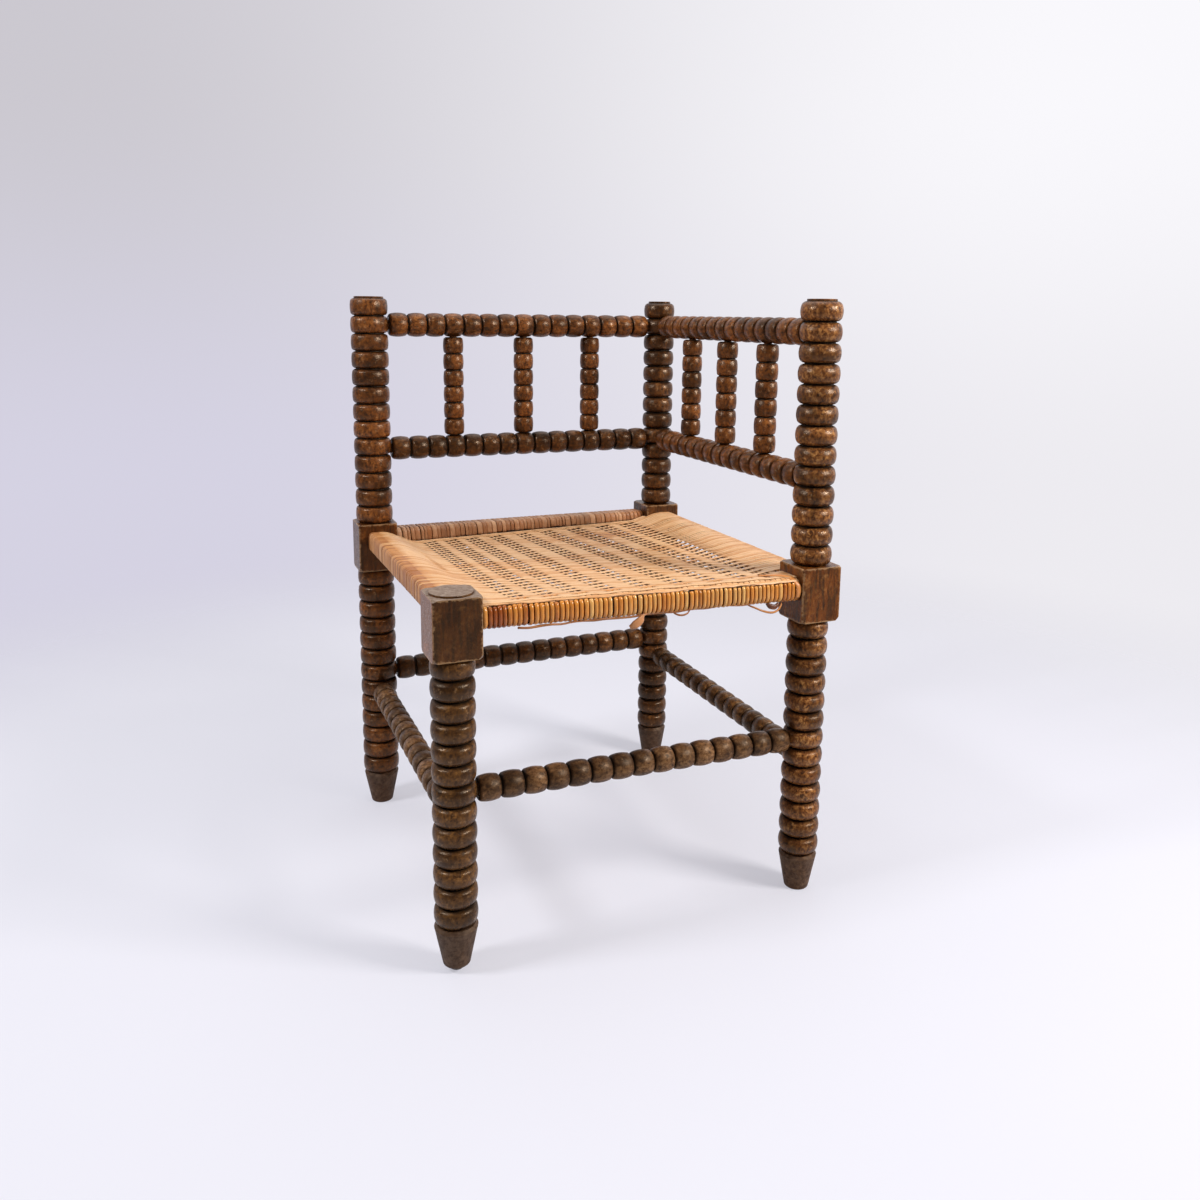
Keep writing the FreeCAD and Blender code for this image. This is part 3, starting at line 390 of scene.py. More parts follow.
@dataclass(frozen=True)
class TurnedWood(Finish):
    """Finish of one turned piece, with grime and painted shade in its grooves and worn crowns and edges.

    A block is the middle of a post's square block and half its size.
    """

    axis: Axis
    centre: Vector
    radius: float
    depth: float
    rows: tuple[BeadRow, ...]
    stain: Stain = RED_STAIN
    tilt: float = 0.0
    block: tuple[Vector, Vector] | None = None
    foot_top: float = 0.0
    grey_top: float = 0.0

    def shade(self, w: Coat, effects: Effects) -> None:
        """Stain the wood, tone each bead, wear the crowns and darken the grooves with grime and painted
        shade.

        Args:
            w: The material's wiring.
            effects: The shared effects.
        """
        stain = self.stain
        local = w.vector("SUBTRACT", w.place, tuple(self.centre))
        upright = w.add("Mapping", Vector=local, Rotation=self.axis.upright(self.tilt)).outputs[0]
        seeded = w.vector("ADD", upright, tuple(self.centre * 3.1))
        tones = {"Dark": stain.dark, "Middle": stain.middle, "Light": stain.light}
        grain = w.use(effects.grain, Vector=seeded, Mottle=stain.mottle, Streak=stain.streak, **tones)
        w.rough = w.plus(w.times(grain["Roughness"], 0.2), stain.roughness)
        start, pitch, turned = self.find_row(w, w.apart(upright)[2])
        sizes = {"Radius": self.radius, "Depth": self.depth, "Start": start, "Pitch": pitch}
        bead = w.use(effects.bead, Vector=upright, **sizes)
        tint = w.plus(w.times(w.span(bead["Tone"], 0.0, 1.0, -0.24, 0.24), turned), 1.0)
        shade = w.add("CombineColor", Red=tint, Green=tint, Blue=tint).outputs[0]
        w.colour = w.blend(1.0, grain["Color"], shade, "MULTIPLY")
        worn_spot = w.span(w.noise(seeded, 170.0, 5.0, 0.72), 0.56, 0.7, 0.0, 0.5)
        w.layer(w.times(bead["Crown"], turned, worn_spot), stain.worn)
        if self.block is not None:
            self.wear_block(w, effects)
        if self.foot_top:
            foot = w.span(w.apart(w.place)[2], self.foot_top + MM, self.foot_top - 2.0 * MM)
            rub = w.span(w.noise(seeded, 140.0, 5.0, 0.7), 0.35, 0.68)
            w.layer(w.times(foot, 0.8), w.blend(rub, (0.044, 0.022, 0.0135), (0.125, 0.076, 0.052)))
            w.rough = w.plus(w.rough, w.times(foot, 0.25))
        # Painted shade and grime: the grooves between the beads are darkened almost to black.
        groove = w.times(bead["Groove"], turned)
        w.layer(w.times(groove, 0.93), stain.grime_and_shade)
        w.rough = w.math("ADD", w.rough, w.times(groove, 0.3), clamp=True)
        height = w.plus(w.times(grain["Height"], 0.5), w.times(bead["Round"], turned, stain.roundness))
        w.settle(height, 1.0, MM, Specular_IOR_Level=0.4, Specular_Tint=(1.0, 0.76, 0.55))

    def find_row(self, w: Coat, z: Socket) -> tuple[object, object, object]:
        """Find the row of beads that a point is on.

        Args:
            w: The material's wiring.
            z: The point's height, with the piece's line upright.

        Returns:
            The row's start and pitch, and a mask that is 1 on the rows and 0 elsewhere.
        """
        start: object = self.rows[0].start
        pitch: object = self.rows[0].pitch
        turned: object = 0.0
        for row in self.rows:
            past = w.math("GREATER_THAN", z, row.start)
            start = w.add("Mix", i0=past, i2=start, i3=row.start).outputs[0]
            pitch = w.add("Mix", i0=past, i2=pitch, i3=row.pitch).outputs[0]
            before = w.math("LESS_THAN", z, row.start + row.pitch * row.count)
            turned = w.plus(turned, w.times(past, before))
        return start, pitch, turned

    def wear_block(self, w: Coat, effects: Effects) -> None:
        """Lighten the block's edges, grey the flat top of the short post and lighten its left faces with
        painted light and rubbing.

        Args:
            w: The material's wiring.
            effects: The shared effects.
        """
        stain, (centre, half) = self.stain, self.block
        local = w.vector("SUBTRACT", w.place, tuple(centre))
        edge = w.use(effects.edge, Vector=local, Half_size=tuple(half), Width=0.0024)[0]
        scuff = w.span(w.noise(local, 70.0, 6.0, 0.7), 0.56, 0.68, 0.0, 0.3)
        z, reach = w.apart(w.place)[2], half.z + 0.4 * MM
        below = w.math("LESS_THAN", z, centre.z + reach)
        inside = w.times(w.math("GREATER_THAN", z, centre.z - reach), below)
        along = w.noise(w.vector("MULTIPLY", local, (1.0, 1.0, 0.14)), 190.0, 5.0, 0.65, 0.5)
        flame = w.blend(w.span(along, 0.38, 0.62), stain.dark, stain.block)
        flame = w.blend(w.span(along, 0.58, 0.74, 0.0, 0.7), flame, stain.light)
        w.layer(w.times(inside, 0.72), flame)
        w.layer(w.times(inside, scuff), stain.light)
        w.layer(w.times(edge, inside, 0.62), stain.worn)
        if self.grey_top:
            left, _, up = w.apart(w.add("NewGeometry").outputs["Normal"])
            # Painted light and rubbing: the left faces of the short post's block, which face the left lamp,
            # are lightened, broken by scuffs.
            left_light_and_rub = w.times(w.span(left, -0.5, -0.9), w.span(scuff, 0.0, 0.3, 0.35, 0.85))
            w.layer(w.times(left_light_and_rub, inside), (0.43, 0.17, 0.09))
            flat = w.times(w.span(up, 0.55, 0.93), w.math("GREATER_THAN", z, self.grey_top))
            dust = w.noise(w.vector("MULTIPLY", w.place, (1.0, 2.4, 1.0)), 190.0, 6.0, 0.7)
            grey = w.blend(w.span(dust, 0.35, 0.7), (0.16, 0.105, 0.074), (0.38, 0.29, 0.23))
            w.layer(w.times(flat, 0.95), grey)
            w.rough = w.plus(w.rough, w.times(flat, 0.25))


@dataclass(frozen=True)
class SawnWood(Finish):
    """Finish of the plain seat rails, which the cane hides almost whole."""

    axis: Axis
    stain: Stain = Stain(roughness=0.62)

    def shade(self, w: Coat, effects: Effects) -> None:
        """Stain the wood along its grain.

        Args:
            w: The material's wiring.
            effects: The shared effects.
        """
        stain = self.stain
        along = w.add("Mapping", Vector=w.place, Rotation=self.axis.upright()).outputs[0]
        grain = w.use(effects.grain, Vector=along, Dark=stain.dark, Middle=stain.dark, Light=stain.middle)
        w.colour = grain["Color"]
        w.rough = w.plus(w.times(grain["Roughness"], 0.2), stain.roughness)
        w.settle(grain["Height"], 0.3, 0.8 * MM)


@dataclass(frozen=True)
class GlideMetal(Finish):
    """Finish of the dull steel glide, scratched where it slides on the floor."""

    bright: Colour = (0.16, 0.13, 0.11)
    dull: Colour = (0.06, 0.042, 0.033)

    def shade(self, w: Coat, effects: Effects) -> None:
        """Scratch and dull the metal.

        Args:
            w: The material's wiring.
            effects: The shared effects, of which metal uses none.
        """
        scratch = w.noise(w.vector("MULTIPLY", w.place, (1.0, 0.12, 1.0)), 1500.0, 2.0)
        rust = w.span(w.noise(w.place, 420.0, 6.0, 0.7), 0.45, 0.66)
        w.colour = w.blend(rust, self.bright, self.dull)
        w.rough = w.span(w.plus(scratch, w.times(rust, 0.4)), 0.4, 0.9, 0.32, 0.6)
        w.settle(scratch, 0.2, 0.2 * MM, Metallic=w.span(rust, 0.2, 0.9, 1.0, 0.35))


@dataclass(frozen=True)
class Cane(Finish):
    """Finish of the cane of one part of the seat, which reads each strand's map and dye."""

    straw: Colour = (0.85, 0.52, 0.265)
    honey: Colour = (0.68, 0.32, 0.115)
    # rust colours the browner strands and also the painted shade along the strands' sides.
    rust: Colour = (0.40, 0.145, 0.042)
    # bark colours aged cane and also the painted shade in the seat's open holes.
    bark: Colour = (0.13, 0.034, 0.008)
    roughness: float = 0.5
    stained: float = 0.0
    # How strongly painted shade darkens the strands' sides.
    sides: float = 0.55

    def shade(self, w: Coat, effects: Effects) -> None:
        """Dye each strand, stain the worn patch of the seat, paint shade along each strand's sides and paint
        a shade line that splits the strands on the side rails.

        Args:
            w: The material's wiring.
            effects: The shared effects.
        """
        dye = w.add("Attribute", {"attribute_name": STRAND_DYE}).outputs["Color"]
        tone, age, gloss = w.add("SeparateColor", Color=dye).outputs
        reach = w.math("ABSOLUTE", w.apart(w.place)[0])
        up = w.apart(w.add("NewGeometry").outputs["Normal"])[2]
        stain = w.span(w.noise(w.place, 16.0, 4.0, 0.6, 0.4), 0.52, 0.7, 0.0, 0.16)
        if self.stained:
            moved = {"Location": (-0.06, -0.105, 0.0), "Scale": (1.0, 1.0, 0.0)}
            away = w.vector("LENGTH", w.add("Mapping", Vector=w.place, **moved).outputs[0], out=1)
            spots = w.span(w.noise(w.place, 55.0, 5.0, 0.7), 0.42, 0.62)
            stain = w.plus(stain, w.times(w.span(away, 0.085, 0.03), spots, self.stained))
        shades = {"Straw": self.straw, "Honey": self.honey, "Rust": self.rust, "Bark": self.bark}
        fibre = w.use(
            effects.fibre,
            Vector=w.add("UVMap", {"uv_map": STRAND_MAP}).outputs[0],
            Tone=w.plus(tone, stain),
            # Age and painted shade, left off the faces that are turned down.
            Age=w.times(age, w.span(up, -0.7, -0.3)),
            # On the side rails the painted side shade is strongest, and Split paints a shade line down each
            # strand.
            Sides=w.span(reach, 0.2, 0.222, self.sides, 0.95),
            Split=w.plus(w.times(w.math("GREATER_THAN", reach, 0.204), 0.999), 0.999),
            **shades,
        )
        w.colour = fibre["Color"]
        dull = w.minus(self.roughness, w.times(gloss, 0.2))
        w.rough = w.math("ADD", fibre["Roughness"], dull, clamp=True)
        w.settle(fibre["Height"], 0.35, 0.3 * MM)


def dress_node(node: bpy.types.Object, material: bpy.types.Material) -> None:
    """Put one finish on a piece."""
    node.data.materials.clear()
    node.data.materials.append(material)


# Strands of cane


def ease(share: np.ndarray) -> np.ndarray:
    """Turn a share into a smooth one that stays between 0 and 1."""
    held = np.clip(share, 0.0, 1.0)
    return held * held * (3.0 - 2.0 * held)


def upward(count: int) -> np.ndarray:
    """Return a number of directions that all face up."""
    return np.tile((0.0, 0.0, 1.0), (count, 1))


@dataclass
class Route:
    """The way that one strand runs: the line of its flat back, and its size and dye there."""

    points: np.ndarray
    ups: np.ndarray
    half_width: np.ndarray | float
    thickness: np.ndarray | float
    tone: np.ndarray | float
    age: np.ndarray | float
    gloss: float

    def __post_init__(self) -> None:
        """Spread what is one number over the strand's whole length."""
        for word in ("half_width", "thickness", "tone", "age", "gloss"):
            value = np.asarray(getattr(self, word), float)
            setattr(self, word, np.broadcast_to(value, (len(self.points),)).copy())


@dataclass
class StrandBlank:
    """A straight strand with a domed or flat face and a flat back, which strands are copies of."""

    segments: int
    domed: bool = False
    sides: int = 8
    back_flatness: float = 0.25
    face_width: float = 1.12
    face_height: float = 1.2

    def __post_init__(self) -> None:
        """Extrude the blank's section along its length, one unit at a time."""
        bpy.ops.object.select_all(action="DESELECT")
        bpy.ops.mesh.primitive_circle_add(vertices=self.sides, radius=1.0, fill_type="NGON")
        blank = bpy.context.object
        for vertex in blank.data.vertices:
            if vertex.co.y < -0.01:
                vertex.co.y *= self.back_flatness
            if not self.domed and 0.1 < abs(vertex.co.x) < 0.9:
                vertex.co.x *= self.face_width
                vertex.co.y *= self.face_height
        bpy.ops.object.mode_set(mode="EDIT")
        bpy.ops.mesh.select_all(action="SELECT")
        for _ in range(self.segments):
            bpy.ops.mesh.extrude_region_move(TRANSFORM_OT_translate={"value": (0, 0, 1)})
        turn_outwards()
        self.mesh = blank.data
        bpy.data.objects.remove(blank)
        for polygon in self.mesh.polygons:
            polygon.use_smooth = len(polygon.vertices) == 4
        places = np.zeros(len(self.mesh.vertices) * 3)
        self.mesh.vertices.foreach_get("co", places)
        self.places = places.reshape(-1, 3)

    def lay(self, route: Route, name: str, shift: float) -> bpy.types.Object:
        """Lay a copy of the blank along a route.

        Args:
            route: The strand's way.
            name: The strand's name.
            shift: Where along the cane's pattern this strand begins.

        Returns:
            The strand's object.
        """
        r = np.rint(self.places[:, 2]).astype(int)
        steps = np.gradient(route.points, axis=0)
        steps /= np.linalg.norm(steps, axis=1)[:, None]
        side = np.cross(steps, route.ups)
        side /= np.linalg.norm(side, axis=1)[:, None]
        face = np.cross(side, steps)
        wide = (self.places[:, 0] * route.half_width[r])[:, None] * side[r]
        tall = (self.places[:, 1] * route.thickness[r])[:, None] * face[r]
        mesh = self.mesh.copy()
        mesh.vertices.foreach_set("co", (route.points[r] + wide + tall).astype(np.float32).ravel())
        length = np.concatenate([[0.0], np.cumsum(np.linalg.norm(np.diff(route.points, axis=0), axis=1))])
        chart = np.stack([self.places[:, 0] * 0.5 + 0.5, length[r] + shift], axis=1)
        corner = np.zeros(len(mesh.loops), int)
        mesh.loops.foreach_get("vertex_index", corner)
        mesh.uv_layers.new(name=STRAND_MAP).data.foreach_set("uv", chart[corner].astype(np.float32).ravel())
        dye = np.stack([route.tone[r], route.age[r], route.gloss[r], np.ones(len(r))], axis=1)
        shades = mesh.color_attributes.new(STRAND_DYE, "FLOAT_COLOR", "POINT")
        shades.data.foreach_set("color", dye.astype(np.float32).ravel())
        strand = bpy.data.objects.new(name, mesh)
        bpy.context.scene.collection.objects.link(strand)
        return strand

    def lay_all(self, routes: list[Route], name: str, shift: float) -> bpy.types.Object:
        """Lay a copy along each route and join the copies into one piece.

        Args:
            routes: The strands' ways.
            name: The piece's name.
            shift: How much farther along the cane's pattern each strand begins than the one before.

        Returns:
            The piece.
        """
        strands = [self.lay(route, f"{name}_{n}", shift * n) for n, route in enumerate(routes)]
        bpy.ops.object.select_all(action="DESELECT")
        for strand in strands:
            strand.select_set(True)
        bpy.context.view_layer.objects.active = strands[0]
        bpy.ops.object.join()
        piece = bpy.context.object
        piece.name = name
        piece.data.name = name
        bpy.ops.object.mode_set(mode="EDIT")
        turn_outwards()
        return piece


def turn_outwards() -> None:
    """Turn all faces of the mesh that is edited outwards, and leave edit mode."""
    bpy.ops.mesh.select_all(action="SELECT")
    bpy.ops.mesh.normals_make_consistent(inside=False)
    bpy.ops.object.mode_set(mode="OBJECT")


@dataclass
class RailOutline:
    """The outline of a wound seat rail, seen along the rail."""

    half_width: float = 13.7 * MM
    half_height: float = 13.2 * MM
    corner: float = 9.7 * MM
    arc_steps: int = 24

    def __post_init__(self) -> None:
        """Work out the outline from the middle of its top, outward and round."""
        self.top_flat = flat = self.half_width - self.corner
        rise = self.half_height - self.corner
        top = [(0.0, self.half_height, 0.0, 1.0)]
        line = list(top)
        for number, (out, up) in enumerate(((flat, rise), (flat, -rise), (-flat, -rise), (-flat, rise))):
            for step in range(self.arc_steps + 1):
                angle = math.pi / 2 * (1 - number - step / self.arc_steps)
                nx, nz = math.cos(angle), math.sin(angle)
                line.append((out + self.corner * nx, up + self.corner * nz, nx, nz))
        self.line = np.array(line + top)
        steps = np.linalg.norm(np.diff(self.line[:, :2], axis=0), axis=1)
        self.run = np.concatenate([[0.0], np.cumsum(steps)])
        self.length = float(self.run[-1])

    def at(self, s: np.ndarray, depth: np.ndarray | float = 0.0) -> tuple[np.ndarray, np.ndarray]:
        """Give the outline at distances along it.

        Args:
            s: Distances from the middle of the top, the outward side first.
            depth: How far inside the outline the places lie.

        Returns:
            Places as (outward, up), and the directions in which the outline faces there.
        """
        found = np.stack([np.interp(s, self.run, self.line[:, k]) for k in range(4)], axis=1)
        face = found[:, 2:] / np.linalg.norm(found[:, 2:], axis=1)[:, None]
        return found[:, :2] - face * np.broadcast_to(depth, s.shape)[:, None], face

    def shoulder(self, drop: float) -> float:
        """Return how far along the outline its outer shoulder has dropped by that much."""
        return self.top_flat + math.acos(max(0.0, 1.0 - drop / self.corner)) * self.corner

    def inner_side(self, height: float) -> float:
        """Return how far along the outline the rail's inner side is at a height over its middle."""
        inner = self.run > self.length * 0.6
        return float(np.interp(height, self.line[inner, 1], self.run[inner]))


@dataclass
class SeatShape:
    """Where the seat's rails and the woven surface between them lie."""

    rail_x: float = 215.0 * MM
    front_y: float = -217.5 * MM
    back_y: float = 210.0 * MM
    rail_z: float = 385.9 * MM
    lift: float = 6.5 * MM
    span_x: float = 430.0 * MM
    span_y: float = 420.0 * MM
    front_rest: float = 4.5 * MM
    back_rest: float = 13.0 * MM
    back_height: float = 384.5 * MM
    back_slope: float = 0.02
    sag: float = 7.2 * MM
    side_zone: float = 176.0 * MM
    rise_start: float = 160.0 * MM
    rise_width: float = 51.0 * MM
    between_posts: float = 187.0 * MM
    strand_end: float = 187.4 * MM
    outline: RailOutline = field(default_factory=RailOutline)
    tight_outline: RailOutline = field(default_factory=lambda: RailOutline(corner=5.2 * MM))

    def front_rail_z(self, x: np.ndarray | float) -> np.ndarray | float:
        """Height of the front rail's middle, which rises to the short post."""
        return self.rail_z + self.lift * (0.5 - x / self.span_x)

    def left_rail_z(self, y: np.ndarray | float) -> np.ndarray | float:
        """Height of the left rail's middle, which rises to the short post."""
        return self.rail_z + self.lift * (0.5 - y / self.span_y)

    def back_z(self, x: np.ndarray | float) -> np.ndarray | float:
        """Height of the weave's back edge."""
        return self.back_height + self.back_slope * x

    def groove(self, x: float) -> float:
        """Where the long strands end and the front winding begins, along the front rail's outline."""
        return self.outline.shoulder(3.3 * MM + 1.7 * MM * x / self.between_posts)

    def surface(self, x: np.ndarray, y: np.ndarray) -> np.ndarray:
        """Height of the top of the weave.

        Args:
            x: Places along the front rail.
            y: Places from the front to the back.

        Returns:
            The heights.
        """
        top = self.outline.half_height
        start, end = self.front_y - self.front_rest, self.back_y - self.back_rest
        share = np.clip((y - start) / (end - start), 0.0, 1.0)
        hollow = self.sag * 4.0 * share * (1.0 - share) * (1.0 - np.clip(np.abs(x) / self.rail_x, 0, 1) ** 4)
        middle = (1.0 - share) * (self.front_rail_z(x) + top) + share * self.back_z(x) - hollow
        beside = np.where(x < 0, self.left_rail_z(y), self.rail_z) + top
        near = ease((np.abs(x) - self.rise_start) / self.rise_width)
        return middle * (1.0 - near) + beside * near


# The woven seat


@dataclass
class Weave:
    """The pattern of the seat: open columns between close bands, crossed by rows."""

    shape: SeatShape
    columns: tuple[float, ...] = (-143.0, -110.0, -77.0, -38.0, 4.0, 46.0, 87.0, 127.0, 161.0)
    drift: tuple[float, ...] = (-5.0, -8.0, -12.0, -17.0, -20.0, -28.0, -25.0, -18.0, -15.0)
    side_drift: float = -6.0
    column_half: float = 11.2
    inner_offset: float = 4.1
    thin_half: float = 1.15 * MM
    band_pitch: float = 4.3
    band_half: float = 2.2 * MM
    strand_depth: float = 0.62 * MM
    slope: float = 3.3
    level_step: float = 0.95 * MM
    row_count: int = 28
    first_row: float = -188.0 * MM
    last_row: float = 179.5 * MM
    rail_row: float = 180.6 * MM
    seed: int = 11

    def __post_init__(self) -> None:
        """Seed the small irregularities."""
        self.chance = np.random.default_rng(self.seed)

    def column_shift(self, x: np.ndarray, y: np.ndarray) -> np.ndarray:
        """How far the columns lean to the left towards the back.

        Args:
            x: Places along the front rail.
            y: Places from the front to the back.

        Returns:
            The sideways shift there.
        """
        places = [-self.shape.side_zone / MM, *self.columns, self.shape.side_zone / MM]
        lean = np.interp(x / MM, places, [0.0, *self.drift, self.side_drift]) * MM
        return lean * np.clip((y / MM + 20.0) / 215.0, 0.0, 1.0) ** 1.6

    def straighten(self, x: np.ndarray, y: np.ndarray) -> np.ndarray:
        """Undo the lean of the columns.

        Args:
            x: Places along the front rail.
            y: Places from the front to the back.

        Returns:
            The places in millimetres, as if the columns stood straight.
        """
        straight = x
        for _ in range(3):
            straight = x - self.column_shift(straight, y)
        return straight / MM

    def openness(self, x: np.ndarray, y: np.ndarray) -> np.ndarray:
        """Return 1 in an open column and 0 in a close band."""
        away = np.min(np.abs(self.straighten(x, y)[:, None] - np.array(self.columns)[None, :]), axis=1)
        return ease((self.column_half + 2.4 - away) / 5.6)

    def zigzag(self, x: np.ndarray, y: np.ndarray) -> np.ndarray:
        """How far a row runs to the back in the open columns, and to the front again between them.

        Args:
            x: Places along the front rail.
            y: Places from the front to the back.

        Returns:
            The shift towards the back.
        """
        side, half = self.shape.side_zone / MM, 0.9 * self.column_half
        knots = [knot for column in self.columns for knot in (column - half, column + half)]
        shifts = [-self.slope, self.slope] * len(self.columns)
        return np.interp(self.straighten(x, y), [-side, *knots, side], [0.0, *shifts, 0.0]) * MM

    def row_place(self, share: float, x: np.ndarray) -> np.ndarray:
        """Where a row runs: rows are wider apart in front than behind, and dip a little.

        Args:
            share: The row's share of the way from the front to the back.
            x: Places along the front rail.

        Returns:
            The row's places from the front to the back.
        """
        eased = share + 0.043 * math.sin(math.pi * share) + 0.006 * math.sin(2 * math.pi * share)
        bow = 0.9 * MM * np.sin(x / (61.0 * MM) + 9.0 * share) * math.sin(math.pi * share)
        return self.first_row + (self.last_row - self.first_row) * eased + bow

    def wobble(self, along: np.ndarray, size: float, wave: float) -> np.ndarray:
        """A slow irregular sway along a strand.

        Args:
            along: Places along the strand.
            size: How far it sways.
            wave: The length of the shortest sway.

        Returns:
            The sway at each place.
        """
        total = np.zeros(len(along))
        for octave in (1.0, 2.3, 4.1):
            phase = self.chance.uniform(0.0, 2.0 * math.pi)
            total += np.sin(along / (wave * octave) * 2.0 * math.pi + phase) * (0.3 + 0.2 * octave)
        return total * size / 2.4


@dataclass
class LongStrands:
    """The strands that run from the front rail to the back rail and carry the weave."""

    weave: Weave
    web_steps: int = 74
    edge_steps: int = 8
    sunk: float = 1.15

    def __post_init__(self) -> None:
        """Give each strand its place along the rail in millimetres, and mark the thin ones in the columns."""
        weave = self.weave
        side = weave.shape.side_zone / MM
        offset, half = weave.inner_offset, weave.column_half
        places = [(column + sign * offset, True) for column in weave.columns for sign in (-1, 1)]
        edges = [-side, *(column + sign * half for column in weave.columns for sign in (-1, 1)), side]
        for low, high in zip(edges[0::2], edges[1::2]):
            count = max(1, round((high - low) / weave.band_pitch))
            pitch = (high - low) / count
            places += [(low + pitch * (number + 0.5), False) for number in range(count)]
        self.places = sorted(places)

    def route(self, number: int) -> Route:
        """Work out the way of one strand.

        Args:
            number: Which strand it is, from the left.

        Returns:
            Its route.
        """
        weave, shape, chance, steps = self.weave, self.weave.shape, self.weave.chance, self.web_steps
        x0, thin = self.places[number][0] * MM, self.places[number][1]
        rail_x = ((number + 0.5) / len(self.places) * 2.0 - 1.0) * shape.between_posts
        y_line = np.linspace(shape.front_y - shape.outline.top_flat, shape.back_y - shape.back_rest, steps)
        x_line = x0 + weave.column_shift(np.full(steps, x0), y_line)
        x_line += weave.wobble(y_line, 0.35 * MM, 34.0 * MM)
        gather = ease((y_line - shape.front_y) / (30.0 * MM))
        x_line = rail_x * (1.0 - gather) + x_line * gather
        opened = gather * thin
        if thin:
            level = -weave.level_step * (self.sunk - opened * (0.15 + 0.45 * self.row_lift(y_line, x0)))
        else:
            level = chance.uniform(-0.2, 0.1) * MM - self.sunk * weave.level_step
        z_line = shape.surface(x_line, y_line) - weave.strand_depth + level
        back = np.clip((y_line - shape.back_y + 26.0 * MM) / (13.0 * MM), 0.0, 1.0)
        z_line -= back**2 * chance.uniform(0.0, 0.6) * MM
        half = weave.thin_half * opened + weave.band_half * (1.0 - opened)
        half = shape.between_posts / len(self.places) * (1.0 - gather) + half * gather
        start, start_ups = self.front_edge(x_line[0])
        points = np.concatenate([start, np.stack([x_line, y_line, z_line], axis=1)])
        sizes = np.pad(half, (self.edge_steps, 0), "edge")
        tone = chance.normal(0.16, 0.1) + (0.05 if thin else 0.0)
        return Route(
            points,
            np.concatenate([start_ups, upward(steps)]),
            half_width=sizes * chance.uniform(0.93, 1.05),
            thickness=weave.strand_depth * (0.85 if thin else 1.0),
            tone=np.clip(tone, 0.0, 0.6),
            age=0.02,
            gloss=0.4,
        )

    def row_lift(self, y_line: np.ndarray, x0: float) -> np.ndarray:
        """Let a thin strand rise between two rows.

        Args:
            y_line: Places along the strand.
            x0: The strand's place along the front rail.

        Returns:
            1 between two rows and 0 under a row.
        """
        count, place = self.weave.row_count, np.array([x0])
        rows = [float(self.weave.row_place(number / (count - 1), place)[0]) for number in range(count)]
        return 0.5 - 0.5 * np.cos(2.0 * math.pi * np.interp(y_line, rows, np.arange(count)))

    def front_edge(self, x: float) -> tuple[np.ndarray, np.ndarray]:
        """The strand's start, which comes up out of the groove and over the front shoulder.

        Args:
            x: Its place along the rail.

        Returns:
            Points and facing directions.
        """
        weave, shape = self.weave, self.weave.shape
        groove = shape.groove(x) + weave.chance.uniform(-0.9, 0.9) * MM
        s = np.linspace(groove, shape.outline.top_flat + 0.8 * MM, self.edge_steps)
        line, face = shape.outline.at(s, weave.strand_depth + self.sunk * weave.level_step)
        height = shape.front_rail_z(x)
        points = np.stack([np.full(len(s), x), shape.front_y - line[:, 0], height + line[:, 1]], axis=1)
        return points, np.stack([np.zeros(len(s)), -face[:, 0], face[:, 1]], axis=1)

    def build(self) -> bpy.types.Object:
        """Lay all the strands."""
        routes = [self.route(number) for number in range(len(self.places))]
        return StrandBlank(self.web_steps + self.edge_steps - 1).lay_all(routes, "cane_long_strands", 0.37)


